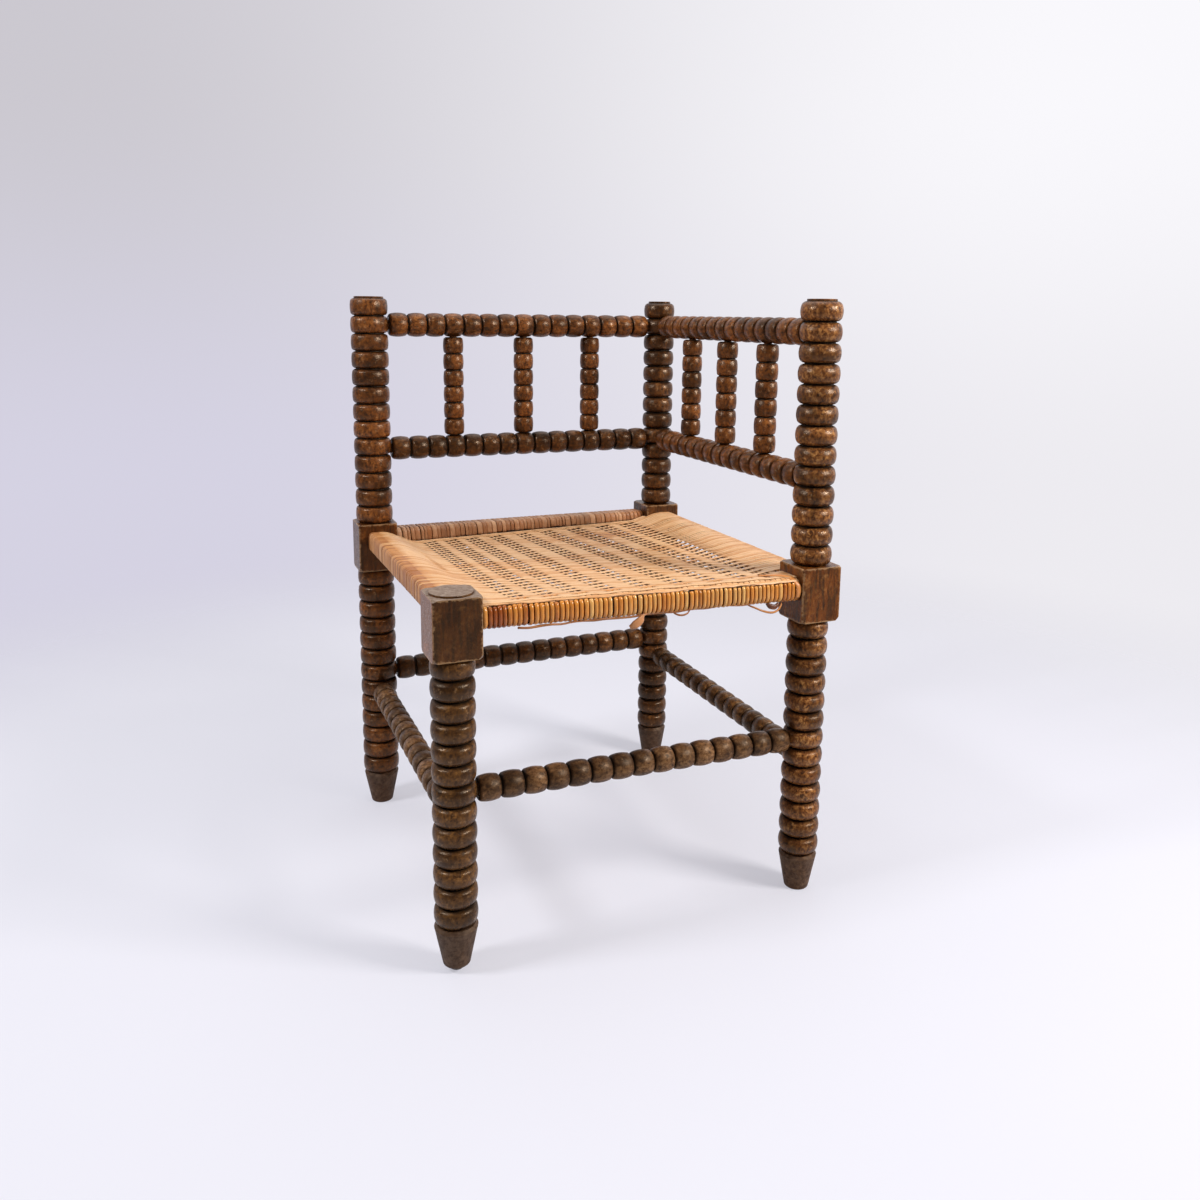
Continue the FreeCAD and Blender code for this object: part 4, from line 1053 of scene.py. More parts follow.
@dataclass
class CrossStrands:
    """The strands that run from left to right: an upper and a lower one in each row.

    They turn over the left and the right rail. Those in front and behind end at the posts.
    """

    weave: Weave
    web_steps: int = 220
    rail_steps: int = 20
    slots: tuple[float, ...] = (128.0, 88.0, -127.0)
    front_rows: int = 2
    front_pitch: float = 16.0 * MM
    first_pitch: float = 4.6 * MM
    back_rows: int = 2
    back_pitch: float = 6.2 * MM
    rail_cover: float = 0.262
    web_cover: float = 0.266
    upper_cover: float = 0.185
    lower_cover: float = 0.31
    slot_depth: float = 0.29
    slot_width: float = 3.4 * MM
    sink: float = 1.75 * MM
    turn_zone: float = 26.0 * MM
    fan_start: float = -146.0 * MM
    fan_width: float = 68.0 * MM
    fan_reach: float = 15.0 * MM

    def route(self, number: int, over: bool) -> Route:
        """Work out the way of one strand from rail to rail.

        Args:
            number: Its row, from the front.
            over: True for the strand that shows in the open columns, False for the one below.

        Returns:
            Its route.
        """
        weave, shape, chance, ends = self.weave, self.weave.shape, self.weave.chance, self.rail_steps
        last = weave.row_count - 1
        share = min((number + (0.0 if over else 0.5)) / last, 1.0)
        x_line = np.linspace(-shape.rail_x + MM, shape.rail_x - MM, self.web_steps)
        y_line, inside = self.line(share, x_line)
        pitch = self.line(share + 0.5 / last, x_line)[0] - self.line(share - 0.5 / last, x_line)[0]
        y_line = y_line + weave.wobble(x_line, 0.4 * MM, 40.0 * MM) * inside
        opened = weave.openness(x_line, y_line) * inside
        shift, level, web_half, age, painted_light_and_shade = self.cross(x_line, opened, pitch, share, over)
        y_line = y_line + shift
        fullness = chance.uniform(0.66, 0.82) if chance.random() < 0.3 else chance.uniform(0.92, 1.0)
        half = self.rail_cover * pitch * fullness * (1.0 - inside) + web_half * inside
        even = weave.rail_row * (2.0 * share - 1.0)
        narrow = min(abs(even / MM - slot) for slot in self.slots) < 6.0
        half = half * np.where((x_line > shape.side_zone) & narrow, 0.72, 1.0)
        z_line = shape.surface(x_line, y_line) - weave.strand_depth + level
        left, left_ups = self.rail_end(float(y_line[0]), -1.0)
        right, right_ups = self.rail_end(float(y_line[-1]), 1.0)
        points = np.concatenate([left[::-1], np.stack([x_line, y_line, z_line], axis=1), right])
        tone = np.full(len(points), chance.normal(0.2, 0.17))
        # Painted highlight and shade: paler rungs and darker lower strands in the open columns.
        tone[ends:-ends] -= painted_light_and_shade
        tone[:ends] += 0.42 + chance.uniform(-0.1, 0.2)
        tone[-ends:] += 0.1
        tone[ends : ends + 5] += np.linspace(0.25, 0.0, 5)
        return Route(
            points,
            np.concatenate([left_ups[::-1], upward(self.web_steps), right_ups]),
            half_width=np.pad(half, ends, "edge"),
            thickness=weave.strand_depth * (0.8 if over else 0.9),
            tone=np.clip(tone, 0.0, 0.9),
            age=np.pad(age, ends, "edge"),
            gloss=0.45,
        )

    def line(self, share: float, x_line: np.ndarray) -> tuple[np.ndarray, np.ndarray]:
        """The way of a row between the crests of the two side rails.

        Args:
            share: The row's share of the way to the back.
            x_line: Places along the row.

        Returns:
            Places from the front to the back, and how far each point belongs to the open weave.
        """
        weave = self.weave
        inside = ease((weave.shape.between_posts - np.abs(x_line)) / self.turn_zone)
        slant = ease((self.fan_start - x_line) / self.fan_width)
        y_web = weave.row_place(share, x_line)
        y_web = y_web + weave.zigzag(x_line, y_web)
        even = weave.rail_row * (2.0 * share - 1.0)
        fan = self.fan_reach * math.sin(math.pi * share) * (1.0 + 0.2 * math.sin(9.0 * share))
        return even * (1.0 - inside) + y_web * inside + slant * fan, inside

    def rail_end(self, y: float, sign: float) -> tuple[np.ndarray, np.ndarray]:
        """The part of a strand that turns over a side rail and ends under the weave.

        Args:
            y: Its place along the rail.
            sign: -1 for the left rail and 1 for the right one.

        Returns:
            Points from the weave outward, and facing directions.
        """
        shape, chance = self.weave.shape, self.weave.chance
        outline = shape.tight_outline
        s = np.linspace(0.6 * MM, outline.length - outline.top_flat - 9.5 * MM, self.rail_steps)
        line, face = outline.at(s, self.weave.strand_depth + chance.uniform(0.0, 0.35) * MM)
        height = shape.left_rail_z(y) if sign < 0 else shape.rail_z
        lean = np.linspace(0.0, 1.0, self.rail_steps) * chance.uniform(-1.6, 1.6) * MM
        points = np.stack([sign * (shape.rail_x + line[:, 0]), y + lean, height + line[:, 1]], axis=1)
        return points, np.stack([sign * face[:, 0], np.zeros(len(s)), face[:, 1]], axis=1)

    def cross(
        self, x_line: np.ndarray, opened: np.ndarray, pitch: np.ndarray | float, share: float, over: bool
    ) -> tuple[np.ndarray, ...]:
        """Narrow a strand in the open columns, paint the upper one paler there as a highlight, and let the
        lower one sink and darken there with painted shade.

        Args:
            x_line: Places along the strand.
            opened: How open the weave is at each place.
            pitch: The distance between two rows there.
            share: The row's share of the way to the back.
            over: True for the strand that shows in the open columns, False for the one below.

        Returns:
            The shift to the back, the height over the weave, the half width, the age and painted shade, and
            the painted lightening of the tone, which is negative where painted shade darkens it.
        """
        chance = self.weave.chance
        close = self.web_cover * pitch * chance.uniform(0.9, 1.0)
        if over:
            half = close * (1.0 - opened) + self.upper_cover * pitch * chance.uniform(0.85, 1.15) * opened
            # Painted highlight: the upper strand is a little paler on the rungs of the open columns.
            return 0.0 * opened, 0.08 * MM * opened, half, 0.02 + 0.0 * opened, 0.1 * opened
        level = -self.sink * opened - chance.uniform(0.0, 0.15) * MM
        half = close * (1.0 - opened) + pitch * self.cover(x_line, share) * opened
        # Painted shade: in the open columns the lower strand is darkened towards bark and rust, standing for
        # the shade in the holes.
        return -0.42 * pitch * opened, level, half, 0.02 + 0.78 * opened, -0.7 * opened

    def cover(self, x_line: np.ndarray, share: float) -> np.ndarray:
        """How wide a lower strand is in the open columns, where a few slots let the floor show.

        Args:
            x_line: Places along the strand.
            share: The row's share of the way to the back.

        Returns:
            Its half width, as a share of the distance between two rows.
        """
        weave = self.weave
        cover = np.full(len(x_line), self.lower_cover)
        front_share = 0.85 * max(0.0, 1.0 - share * 1.2)
        for column in weave.columns:
            likely = 0.1 if column > 150.0 else front_share + (0.15 if column > 0 else 0.05)
            place = (column + weave.chance.uniform(1.0, 9.0)) * MM
            if weave.chance.random() < likely:
                cover -= self.slot_depth * np.exp(-(((x_line - place) / self.slot_width) ** 4))
        return cover

    def front_route(self, number: int, over: bool) -> Route:
        """Work out the way of a cross strand on the front rail, between the two posts.

        Args:
            number: Its row, from the first full row towards the front.
            over: True for the strand that shows in the open columns, False for the one below.

        Returns:
            Its route.
        """
        weave, shape, pitch = self.weave, self.weave.shape, self.front_pitch
        x_line = self.post_line()
        y_line = np.full(len(x_line), weave.first_row - pitch * (number + (1.0 if over else 0.5)))
        y_line += 0.6 * weave.zigzag(x_line, y_line) + weave.wobble(x_line, 0.5 * MM, 40.0 * MM)
        opened = weave.openness(x_line, y_line)
        shift, level, half, age, painted_light_and_shade = self.cross(x_line, opened, pitch, 0.0, over)
        y_line = y_line + shift
        z_line = shape.surface(x_line, y_line) - weave.strand_depth + level * 0.7
        # Painted highlight and shade in the open columns, as in the rows behind.
        tone = np.clip(weave.chance.normal(0.22, 0.14) - painted_light_and_shade, 0.0, 0.9)
        points = np.stack([x_line, y_line, z_line], axis=1)
        return Route(points, upward(len(points)), half, weave.strand_depth * 0.85, tone, age, 0.45)

    def post_line(self) -> np.ndarray:
        """Places from the one post to the other, as many as a strand of the full length has."""
        end = self.weave.shape.strand_end
        return np.linspace(-end, end, self.web_steps + 2 * self.rail_steps)

    def edge_route(self, number: int) -> Route:
        """Work out the way of a plain cross strand between the posts, beyond the open rows.

        Args:
            number: 0 for the strand beside the front winding, and from 1 on for those at the back.

        Returns:
            Its route.
        """
        weave, shape = self.weave, self.weave.shape
        x_line = self.post_line()
        sway = weave.wobble(x_line, 0.35 * MM, 17.0 * MM)
        ups = upward(len(x_line))
        level = weave.chance.uniform(-0.12, 0.08) * MM
        if number == 0:
            pitch = self.first_pitch
            s = np.array([shape.groove(x) for x in x_line]) - pitch * 0.46 + sway
            line, face = shape.outline.at(np.maximum(s, 0.0))
            on_rail = s > 0.0
            y_line = shape.front_y - np.where(on_rail, line[:, 0], s)
            z_line = np.where(on_rail, shape.front_rail_z(x_line) + line[:, 1], shape.surface(x_line, y_line))
            ups = np.where(on_rail[:, None], np.stack([0.0 * s, -face[:, 0], face[:, 1]], axis=1), ups)
        else:
            pitch = self.back_pitch
            y_line = weave.last_row + pitch * (number - 0.2) + sway
            z_line = shape.surface(x_line, y_line)
        ends = np.clip((np.abs(x_line) - 184.0 * MM) / (3.0 * MM), 0.0, 1.0) * 0.8 * MM
        points = np.stack([x_line, y_line, z_line - weave.strand_depth + level - ends], axis=1)
        half = pitch * 0.5 * (0.8 + sway / (1.1 * MM))
        tone = np.clip(weave.chance.normal(0.2, 0.1), 0.0, 0.6)
        return Route(points, ups, half, weave.strand_depth * 0.85, tone, age=0.02, gloss=0.45)

    def build(self, over: bool) -> bpy.types.Object:
        """Lay the upper or the lower strand of every row.

        Args:
            over: True for the upper strands.

        Returns:
            The piece.
        """
        rows = self.weave.row_count - (0 if over else 1)
        routes = [self.route(number, over) for number in range(rows)]
        routes += [self.front_route(number, over) for number in range(self.front_rows)]
        if over:
            routes += [self.edge_route(number) for number in range(1 + self.back_rows)]
        blank = StrandBlank(self.web_steps + 2 * self.rail_steps - 1)
        return blank.lay_all(routes, f"cane_{'upper' if over else 'lower'}_cross_strands", 0.29)


@dataclass
class Winding:
    """The strands wound round the front or the back rail."""

    shape: SeatShape
    front: bool
    least: float
    most: float
    gap: float
    wide_gap: float
    wide_share: float
    dome: float
    lean: float
    tone: float
    tone_spread: float
    gloss: float
    seed: int
    steps: int = 34
    half_run: float = 188.3 * MM

    def turns(self) -> list[tuple[float, float]]:
        """Share out the rail among the strands.

        Returns:
            Each strand's middle along the rail, and its width.
        """
        chance = np.random.default_rng(self.seed)
        sizes = []
        while sum(width + gap for width, gap in sizes) < 2.0 * self.half_run:
            width = chance.uniform(self.least, self.most)
            gap = self.wide_gap if chance.random() < self.wide_share else self.gap
            sizes.append((width, gap * chance.uniform(0.6, 1.4)))
        scale = 2.0 * self.half_run / sum(width + gap for width, gap in sizes)
        found, x = [], -self.half_run
        for width, gap in sizes:
            found.append((x + width * scale / 2.0, width * scale))
            x += (width + gap) * scale
        return found

    def route(self, x: float, width: float, chance: np.random.Generator) -> Route:
        """Work out one turn round the rail.

        Args:
            x: Its place along the rail.
            width: Its width.
            chance: The source of small irregularities.

        Returns:
            Its route.
        """
        shape = self.shape
        outline = shape.outline if self.front else shape.tight_outline
        if self.front:
            first = shape.groove(x) + chance.uniform(0.3, 1.9) * MM
            last = outline.length - outline.top_flat - 7.0 * MM
            line_y, sign, height = shape.front_y, -1.0, shape.front_rail_z(x)
        else:
            torn = math.exp(-(((x + 4.0 * MM) / (92.0 * MM)) ** 4))
            gap = (chance.uniform(-0.9, -0.3) + torn * chance.uniform(0.3, 2.4)) * MM
            first = outline.inner_side(shape.back_z(x) - shape.rail_z + gap)
            last = first + outline.length - 8.0 * MM
            line_y, sign, height = shape.back_y, 1.0, shape.rail_z
        place, face = outline.at(np.mod(np.linspace(first, last, self.steps), outline.length))
        depth = np.full(self.steps, self.dome * chance.uniform(0.9, 1.06))
        depth[[0, 1, -1]] += np.array([0.55, 0.12, 0.4]) * MM
        out, up = (place - face * depth[:, None]).T
        if self.front:
            slack = (1.7 + 1.1 * x / self.half_run + chance.uniform(-0.25, 0.25)) * MM
            up = up - slack * np.clip((6.0 * MM - place[:, 1]) / (14.0 * MM), 0.0, 1.0)
        slant = self.lean * (0.5 - np.cos(np.linspace(0.0, 2.0 * math.pi, self.steps)) * 0.5)
        sway = slant + chance.uniform(-0.25, 0.25) * MM
        tone = self.tone + 0.09 * math.sin(x / (23.0 * MM)) + 0.06 * math.sin(x / (9.0 * MM))
        if self.front:
            tone += 0.18 * min(max((-70.0 * MM - x) / (80.0 * MM), 0.0), 1.0)
            tone += 0.5 if -181.0 * MM < x < -163.0 * MM else 0.0
        tone += 0.7 * chance.normal(0.0, self.tone_spread)
        return Route(
            np.stack([x + sway, line_y + sign * out, height + up], axis=1),
            np.stack([np.zeros(self.steps), sign * face[:, 0], face[:, 1]], axis=1),
            half_width=width / 2.0,
            thickness=depth.max() * 0.96,
            tone=np.clip(tone, 0.0, 1.0),
            age=chance.uniform(0.15, 0.4) if chance.random() < 0.12 else 0.03,
            gloss=self.gloss,
        )

    def build(self) -> bpy.types.Object:
        """Lay all the turns.

        Returns:
            The piece.
        """
        chance = np.random.default_rng(self.seed + 1)
        routes = [self.route(x, width, chance) for x, width in self.turns()]
        name = f"cane_{'front' if self.front else 'back'}_winding"
        return StrandBlank(self.steps - 1, domed=self.front).lay_all(routes, name, 0.41)


@dataclass
class LooseEnd:
    """One end of cane that has come loose at the front rail.

    Its line is in millimetres, with half the width as each point's fourth number.
    """

    line: tuple[tuple[float, float, float, float], ...]
    ups: tuple[tuple[float, float, float], ...]
    thickness: float
    tone: float
    age: float
    steps: int = 60

    def route(self) -> Route:
        """Smooth the end's points into a route.

        Returns:
            Its route.
        """
        known = np.array(self.line)
        last = len(known) - 1
        places = np.linspace(0.0, last, self.steps)
        index = np.clip(places.astype(int), 0, last - 1)
        t = (places - index)[:, None]
        padded = np.concatenate([[2 * known[0] - known[1]], known, [2 * known[-1] - known[-2]]])[:, :3] * MM
        a, b, c, d = (padded[index + k] for k in range(4))
        bend = (2 * a - 5 * b + 4 * c - d) * t**2 + (3 * b - a - 3 * c + d) * t**3
        knots = np.arange(last + 1)
        faces = np.stack([np.interp(places, knots, np.array(self.ups)[:, k]) for k in range(3)], axis=1)
        faces /= np.linalg.norm(faces, axis=1)[:, None]
        half = np.interp(places, knots, known[:, 3]) * MM
        line = 0.5 * (2 * b + (c - a) * t + bend)
        return Route(line, faces, half, self.thickness * MM, self.tone, self.age, gloss=0.2)


DOWN, AHEAD = (0.0, -0.3, -1.0), (0.0, -1.0, -0.3)
TORN_END = LooseEnd(
    (
        (-5.0, -222.0, 375.8, 3.6), (-9.0, -228.0, 374.2, 4.2), (-14.0, -231.0, 370.5, 4.8),
        (-20.0, -231.0, 366.5, 4.6), (-25.0, -229.0, 363.4, 2.4),
    ),
    ((0, -0.5, -1.0), (-0.2, -1.0, -0.6), (-0.3, -1.0, -0.2), (-0.2, -1.0, 0.1), (0.0, -1.0, 0.2)),
    thickness=1.2, tone=0.3, age=0.1,
)
SMALL_LOOP = LooseEnd(
    (
        (28.0, -222.0, 374.0, 0.9), (32.0, -227.0, 371.4, 1.1), (38.0, -228.0, 370.2, 1.2),
        (45.0, -227.0, 371.4, 1.1), (50.0, -222.0, 373.6, 0.9),
    ),
    (DOWN, AHEAD, AHEAD, AHEAD, DOWN),
    thickness=0.9, tone=0.8, age=0.3,
)
LONG_LOOP = LooseEnd(
    (
        (124.0, -219.0, 371.6, 1.0), (131.0, -225.0, 368.4, 1.1), (141.0, -228.0, 364.0, 1.2),
        (152.0, -228.0, 361.0, 1.4), (161.0, -226.0, 361.8, 1.4), (167.0, -224.0, 366.8, 1.3),
        (169.0, -221.0, 372.8, 1.1),
    ),
    (DOWN, AHEAD, AHEAD, AHEAD, AHEAD, AHEAD, DOWN),
    thickness=1.1, tone=0.5, age=0.12,
)
WAD = LooseEnd(
    (
        (148.0, -224.0, 371.2, 1.6), (152.0, -226.0, 367.8, 3.3), (158.0, -226.0, 366.6, 3.1),
        (163.0, -224.0, 369.6, 1.4),
    ),
    ((0.0, -1.0, -0.2),) * 4,
    thickness=2.2, tone=0.95, age=1.0,
)
CORNER_TURN = LooseEnd(
    (
        (146.0, -207.0, 399.4, 1.6), (160.0, -212.0, 399.9, 2.5), (173.0, -218.5, 399.6, 3.1),
        (181.0, -226.0, 397.2, 3.4), (184.6, -231.4, 391.4, 3.4), (185.4, -232.6, 384.0, 3.3),
        (185.0, -231.4, 376.5, 2.8),
    ),
    ((0, 0, 1), (0, 0, 1), (0, -0.15, 1), (0.1, -0.7, 0.8), (0.1, -1, 0.35), (0, -1, 0), (0, -1, -0.4)),
    thickness=0.8, tone=0.5, age=0.0,
)


@dataclass
class CaneSeat:
    """The whole seat of cane."""

    shape: SeatShape = field(default_factory=SeatShape)
    hem_points: int = 24
    hem_seed: int = 47

    def build(self, effects: Effects) -> list[bpy.types.Object]:
        """Build and dress the seat's pieces.

        Args:
            effects: The shared effects.

        Returns:
            The pieces.
        """
        weave = Weave(self.shape)
        golden = {"straw": (0.86, 0.48, 0.15), "honey": (0.74, 0.28, 0.045), "rust": (0.33, 0.078, 0.011)}
        faded = {"straw": (0.66, 0.38, 0.21), "honey": (0.45, 0.215, 0.1)}
        ruddy = {"straw": (0.6, 0.3, 0.15), "honey": (0.68, 0.26, 0.065)}
        web_finish = Cane("cane_web", stained=0.34, sides=0.3).paint(effects)
        side_finish = Cane("cane_cross", stained=0.34, sides=0.3).paint(effects)
        # The front winding has the strongest painted shade along its strands' sides.
        front_finish = Cane("cane_front", roughness=0.34, sides=1.0, **golden).paint(effects)
        back_finish = Cane("cane_back", **faded).paint(effects)
        ends_finish = Cane("cane_ends", roughness=0.42, **ruddy).paint(effects)
        cross = CrossStrands(weave)
        loose = (TORN_END, SMALL_LOOP, LONG_LOOP, WAD, self.hem(), CORNER_TURN)
        plan = (
            (LongStrands(weave).build(), web_finish, ("cane_web",)),
            (cross.build(over=True), side_finish, ("cane_wrap_left", "cane_wrap_right")),
            (cross.build(over=False), side_finish, ()),
            (self.front_winding().build(), front_finish, ("cane_wrap_front",)),
            (self.back_winding().build(), back_finish, ("cane_wrap_back",)),
            (lay_loose(loose), ends_finish, ("cane_tails",)),
        )
        for piece, finish, nodes in plan:
            dress_node(piece, finish)
            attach(piece, "root")
            if nodes:
                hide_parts(*nodes)
        return [piece for piece, _, _ in plan]

    def front_winding(self) -> Winding:
        """The golden strands round the front rail."""
        return Winding(
            self.shape, front=True, seed=23,
            least=4.9 * MM, most=5.9 * MM, gap=0.08 * MM, wide_gap=0.9 * MM, wide_share=0.12,
            dome=1.6 * MM, lean=0.5 * MM, tone=0.4, tone_spread=0.16, gloss=1.0,
        )

    def back_winding(self) -> Winding:
        """The flatter, browner strands round the back rail."""
        return Winding(
            self.shape, front=False, seed=31,
            least=4.0 * MM, most=9.5 * MM, gap=0.1 * MM, wide_gap=0.55 * MM, wide_share=0.36,
            dome=0.42 * MM, lean=-4.5 * MM, tone=0.42, tone_spread=0.2, gloss=0.3,
        )

    def hem(self) -> LooseEnd:
        """The ragged strand that runs along the underside of the front rail.

        Returns:
            The strand.
        """
        chance, count = np.random.default_rng(self.hem_seed), self.hem_points
        under = []
        for x in np.linspace(-150.0, 128.0, count):
            y = -226.0 + chance.uniform(-1.2, 1.2)
            under.append((float(x), y, 373.6 + 3.0 * (0.5 - x / 430.0) + chance.uniform(-0.9, 0.7)))
        ups = tuple((0.0, -1.0, -0.5 + float(turn)) for turn in chance.uniform(-0.3, 0.3, count))
        halves = chance.uniform(1.0, 1.9, count)
        line = tuple((*place, float(half)) for place, half in zip(under, halves))
        return LooseEnd(line, ups, thickness=1.3, tone=0.72, age=0.22)


def lay_loose(ends: tuple[LooseEnd, ...]) -> bpy.types.Object:
    """Lay the loose ends as one piece."""
    return StrandBlank(ends[0].steps - 1).lay_all([end.route() for end in ends], "cane_loose_ends", 0.5)


# The turned wood


@dataclass(frozen=True)
class PostTurning:
    """Where a post stands, in halves of the spacing, and how its beads are turned."""

    x_side: int
    y_side: int
    radius: float
    depth: float
    stain: Stain
    lift: float = 0.0


@dataclass(frozen=True)
class RailTurning:
    """How a beaded rail lies: its two posts, its height, its radius and its rise."""

    first: str
    second: str
    height: float
    radius: float
    stain: Stain
    rise: float = 0.0


@dataclass
class TurnedFrame:
    """The posts, rails, stretchers and spindles, which keep their modelled solids."""

    half_x: float = 215.0 * MM
    half_y: float = 210.0 * MM
    foot: float = 48.0 * MM
    block_low: float = 344.4 * MM
    block_high: float = 409.4 * MM
    block_half: float = 26.0 * MM
    lower_pitch: float = 22.8 * MM
    upper_pitch: float = 23.3 * MM
    post_beads: int = 13
    rail_beads: int = 15
    spindle_beads: int = 6
    rail_depth: float = 4.8 * MM
    spindle_radius: float = 14.0 * MM
    spindle_depth: float = 3.4 * MM
    gap: float = 0.3 * MM
    rail_radius: float = 16.2 * MM
    stretcher_radius: float = 14.5 * MM
    top_rail: float = 677.35 * MM
    lower_rail: float = 509.75 * MM
    high_bar: float = 194.0 * MM
    low_bar: float = 169.6 * MM
    rise: float = 6.5 * MM
    finishes: dict[str, Finish] = field(default_factory=dict)

    def __post_init__(self) -> None:
        """Say how the posts and the rails are turned."""
        thick, thin = self.rail_radius, self.stretcher_radius
        self.posts = {
            "left": PostTurning(-1, 1, 24.65 * MM, 5.3 * MM, RED_STAIN),
            "right": PostTurning(1, -1, 24.1 * MM, 7.0 * MM, GOLDEN_STAIN),
            "corner": PostTurning(1, 1, 22.6 * MM, 6.4 * MM, DARK_STAIN),
            "front": PostTurning(-1, -1, 23.6 * MM, 6.4 * MM, OLIVE_STAIN, self.rise),
        }
        self.rails = {
            "back_top_rail": RailTurning("left", "corner", self.top_rail, thick, RED_STAIN),
            "back_lower_rail": RailTurning("left", "corner", self.lower_rail, thick, DARK_STAIN),
            "right_top_rail": RailTurning("corner", "right", self.top_rail, thick, RED_STAIN),
            "right_lower_rail": RailTurning("corner", "right", self.lower_rail, thick, RED_STAIN),
            "front_stretcher": RailTurning("front", "right", self.high_bar, thin, PALE_STAIN, self.rise),
            "back_stretcher": RailTurning("left", "corner", self.high_bar, thick, DARK_STAIN),
            "left_stretcher": RailTurning("left", "front", self.low_bar, thin, PALE_STAIN, self.rise),
            "right_stretcher": RailTurning("corner", "right", self.low_bar, thin, OLIVE_STAIN),
        }

    def dress(self, nodes: dict[str, bpy.types.Object], effects: Effects) -> None:
        """Give every wooden piece its finish.

        Args:
            nodes: The modelled pieces by name.
            effects: The shared effects.
        """
        self.plan_posts()
        self.plan_rails()
        self.plan_spindles()
        for side, axis in (("front", Axis.X), ("back", Axis.X), ("left", Axis.Y), ("right", Axis.Y)):
            self.finishes[side + "_seat_rail"] = SawnWood(f"wood_{side}_seat_rail", axis)
        for name, finish in self.finishes.items():
            dress_node(nodes[name], finish.paint(effects))
            log.info("%s is dressed", name)

    def plan_posts(self) -> None:
        """Plan the finish of the four posts."""
        middle_z = (self.block_low + self.block_high) / 2
        half = Vector((self.block_half, self.block_half, (self.block_high - self.block_low) / 2))
        for name, post in self.posts.items():
            centre = Vector((post.x_side * self.half_x, post.y_side * self.half_y, 0.0))
            rows = [BeadRow(self.foot + post.lift, self.lower_pitch, self.post_beads)]
            if not post.lift:
                rows.append(BeadRow(self.block_high, self.upper_pitch, self.post_beads))
            self.finishes[name + "_post"] = TurnedWood(
                f"wood_{name}_post", Axis.Z, centre, post.radius, post.depth, tuple(rows), post.stain,
                block=(Vector((centre.x, centre.y, middle_z + post.lift)), half),
                foot_top=self.foot + post.lift,
                grey_top=self.block_high if post.lift else 0.0,
            )

    def plan_rails(self) -> None:
        """Plan the finish of the beaded rails and stretchers."""
        for name, rail in self.rails.items():
            first, second = self.posts[rail.first], self.posts[rail.second]
            along_x = first.y_side == second.y_side
            half = self.half_x if along_x else self.half_y
            place = (0.0, first.y_side * self.half_y) if along_x else (first.x_side * self.half_x, 0.0)
            start = second.radius + self.gap - half
            pitch = (2.0 * half - first.radius - second.radius - 2.0 * self.gap) / self.rail_beads
            rows = (BeadRow(start, pitch, self.rail_beads),)
            centre = Vector((*place, rail.height + rail.rise / 2))
            self.finishes[name] = TurnedWood(
                "wood_" + name, Axis.X if along_x else Axis.Y, centre, rail.radius, self.rail_depth, rows,
                rail.stain, tilt=math.atan(rail.rise / (2.0 * half)),
            )

    def plan_spindles(self) -> None:
        """Plan the finish of the six spindles."""
        start = self.lower_rail + self.rail_radius + self.gap
        pitch = (self.top_rail - self.rail_radius - self.gap - start) / self.spindle_beads
        rows = (BeadRow(start, pitch, self.spindle_beads),)
        for name in [f"{side}_spindle_{number}" for side in ("back", "right") for number in (1, 2, 3)]:
            low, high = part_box(name)
            centre = Vector(((low.x + high.x) / 2, (low.y + high.y) / 2, 0.0))
            sizes = (self.spindle_radius, self.spindle_depth)
            self.finishes[name] = TurnedWood("wood_" + name, Axis.Z, centre, *sizes, rows)


# The studio


@dataclass(frozen=True)
class FloorPaper(Finish):
    """Finish of the pale floor, which keeps the shadows near the chair and clears farther off."""

    seen: Colour = (0.84, 0.835, 0.90)
    bounce: Colour = (0.46, 0.45, 0.46)
    glow: Colour = (0.80, 0.79, 0.875)

    def shade(self, w: Coat, effects: Effects) -> None:
        """Let the floor glow for the camera, and let the backdrop show where it is far.

        Args:
            w: The material's wiring.
            effects: The shared effects, of which the floor uses none.
        """
        path = w.add("LightPath").outputs
        seen = w.math("MAXIMUM", path["Is Camera Ray"], path["Is Transmission Ray"])
        seen = w.math("MAXIMUM", seen, w.times(path["Is Glossy Ray"], 0.6))
        shown = w.blend(seen, self.bounce, self.seen)
        w.fill(w.shader, Base_Color=shown, Roughness=0.8, Specular_IOR_Level=0.2)
        glow = w.add("Emission", Color=self.glow, Strength=1.0).outputs[0]
        paper = w.add("MixShader", i0=w.times(seen, 0.55), i1=w.shader.outputs[0], i2=glow).outputs[0]
        far = w.span(w.vector("LENGTH", w.place, out=1), 0.8, 1.9)
        clear = w.add("BsdfTransparent").outputs[0]
        mixed = w.add("MixShader", i0=w.times(far, seen), i1=paper, i2=clear).outputs[0]
        w.fill(w.tree.nodes["Material Output"], Surface=mixed)


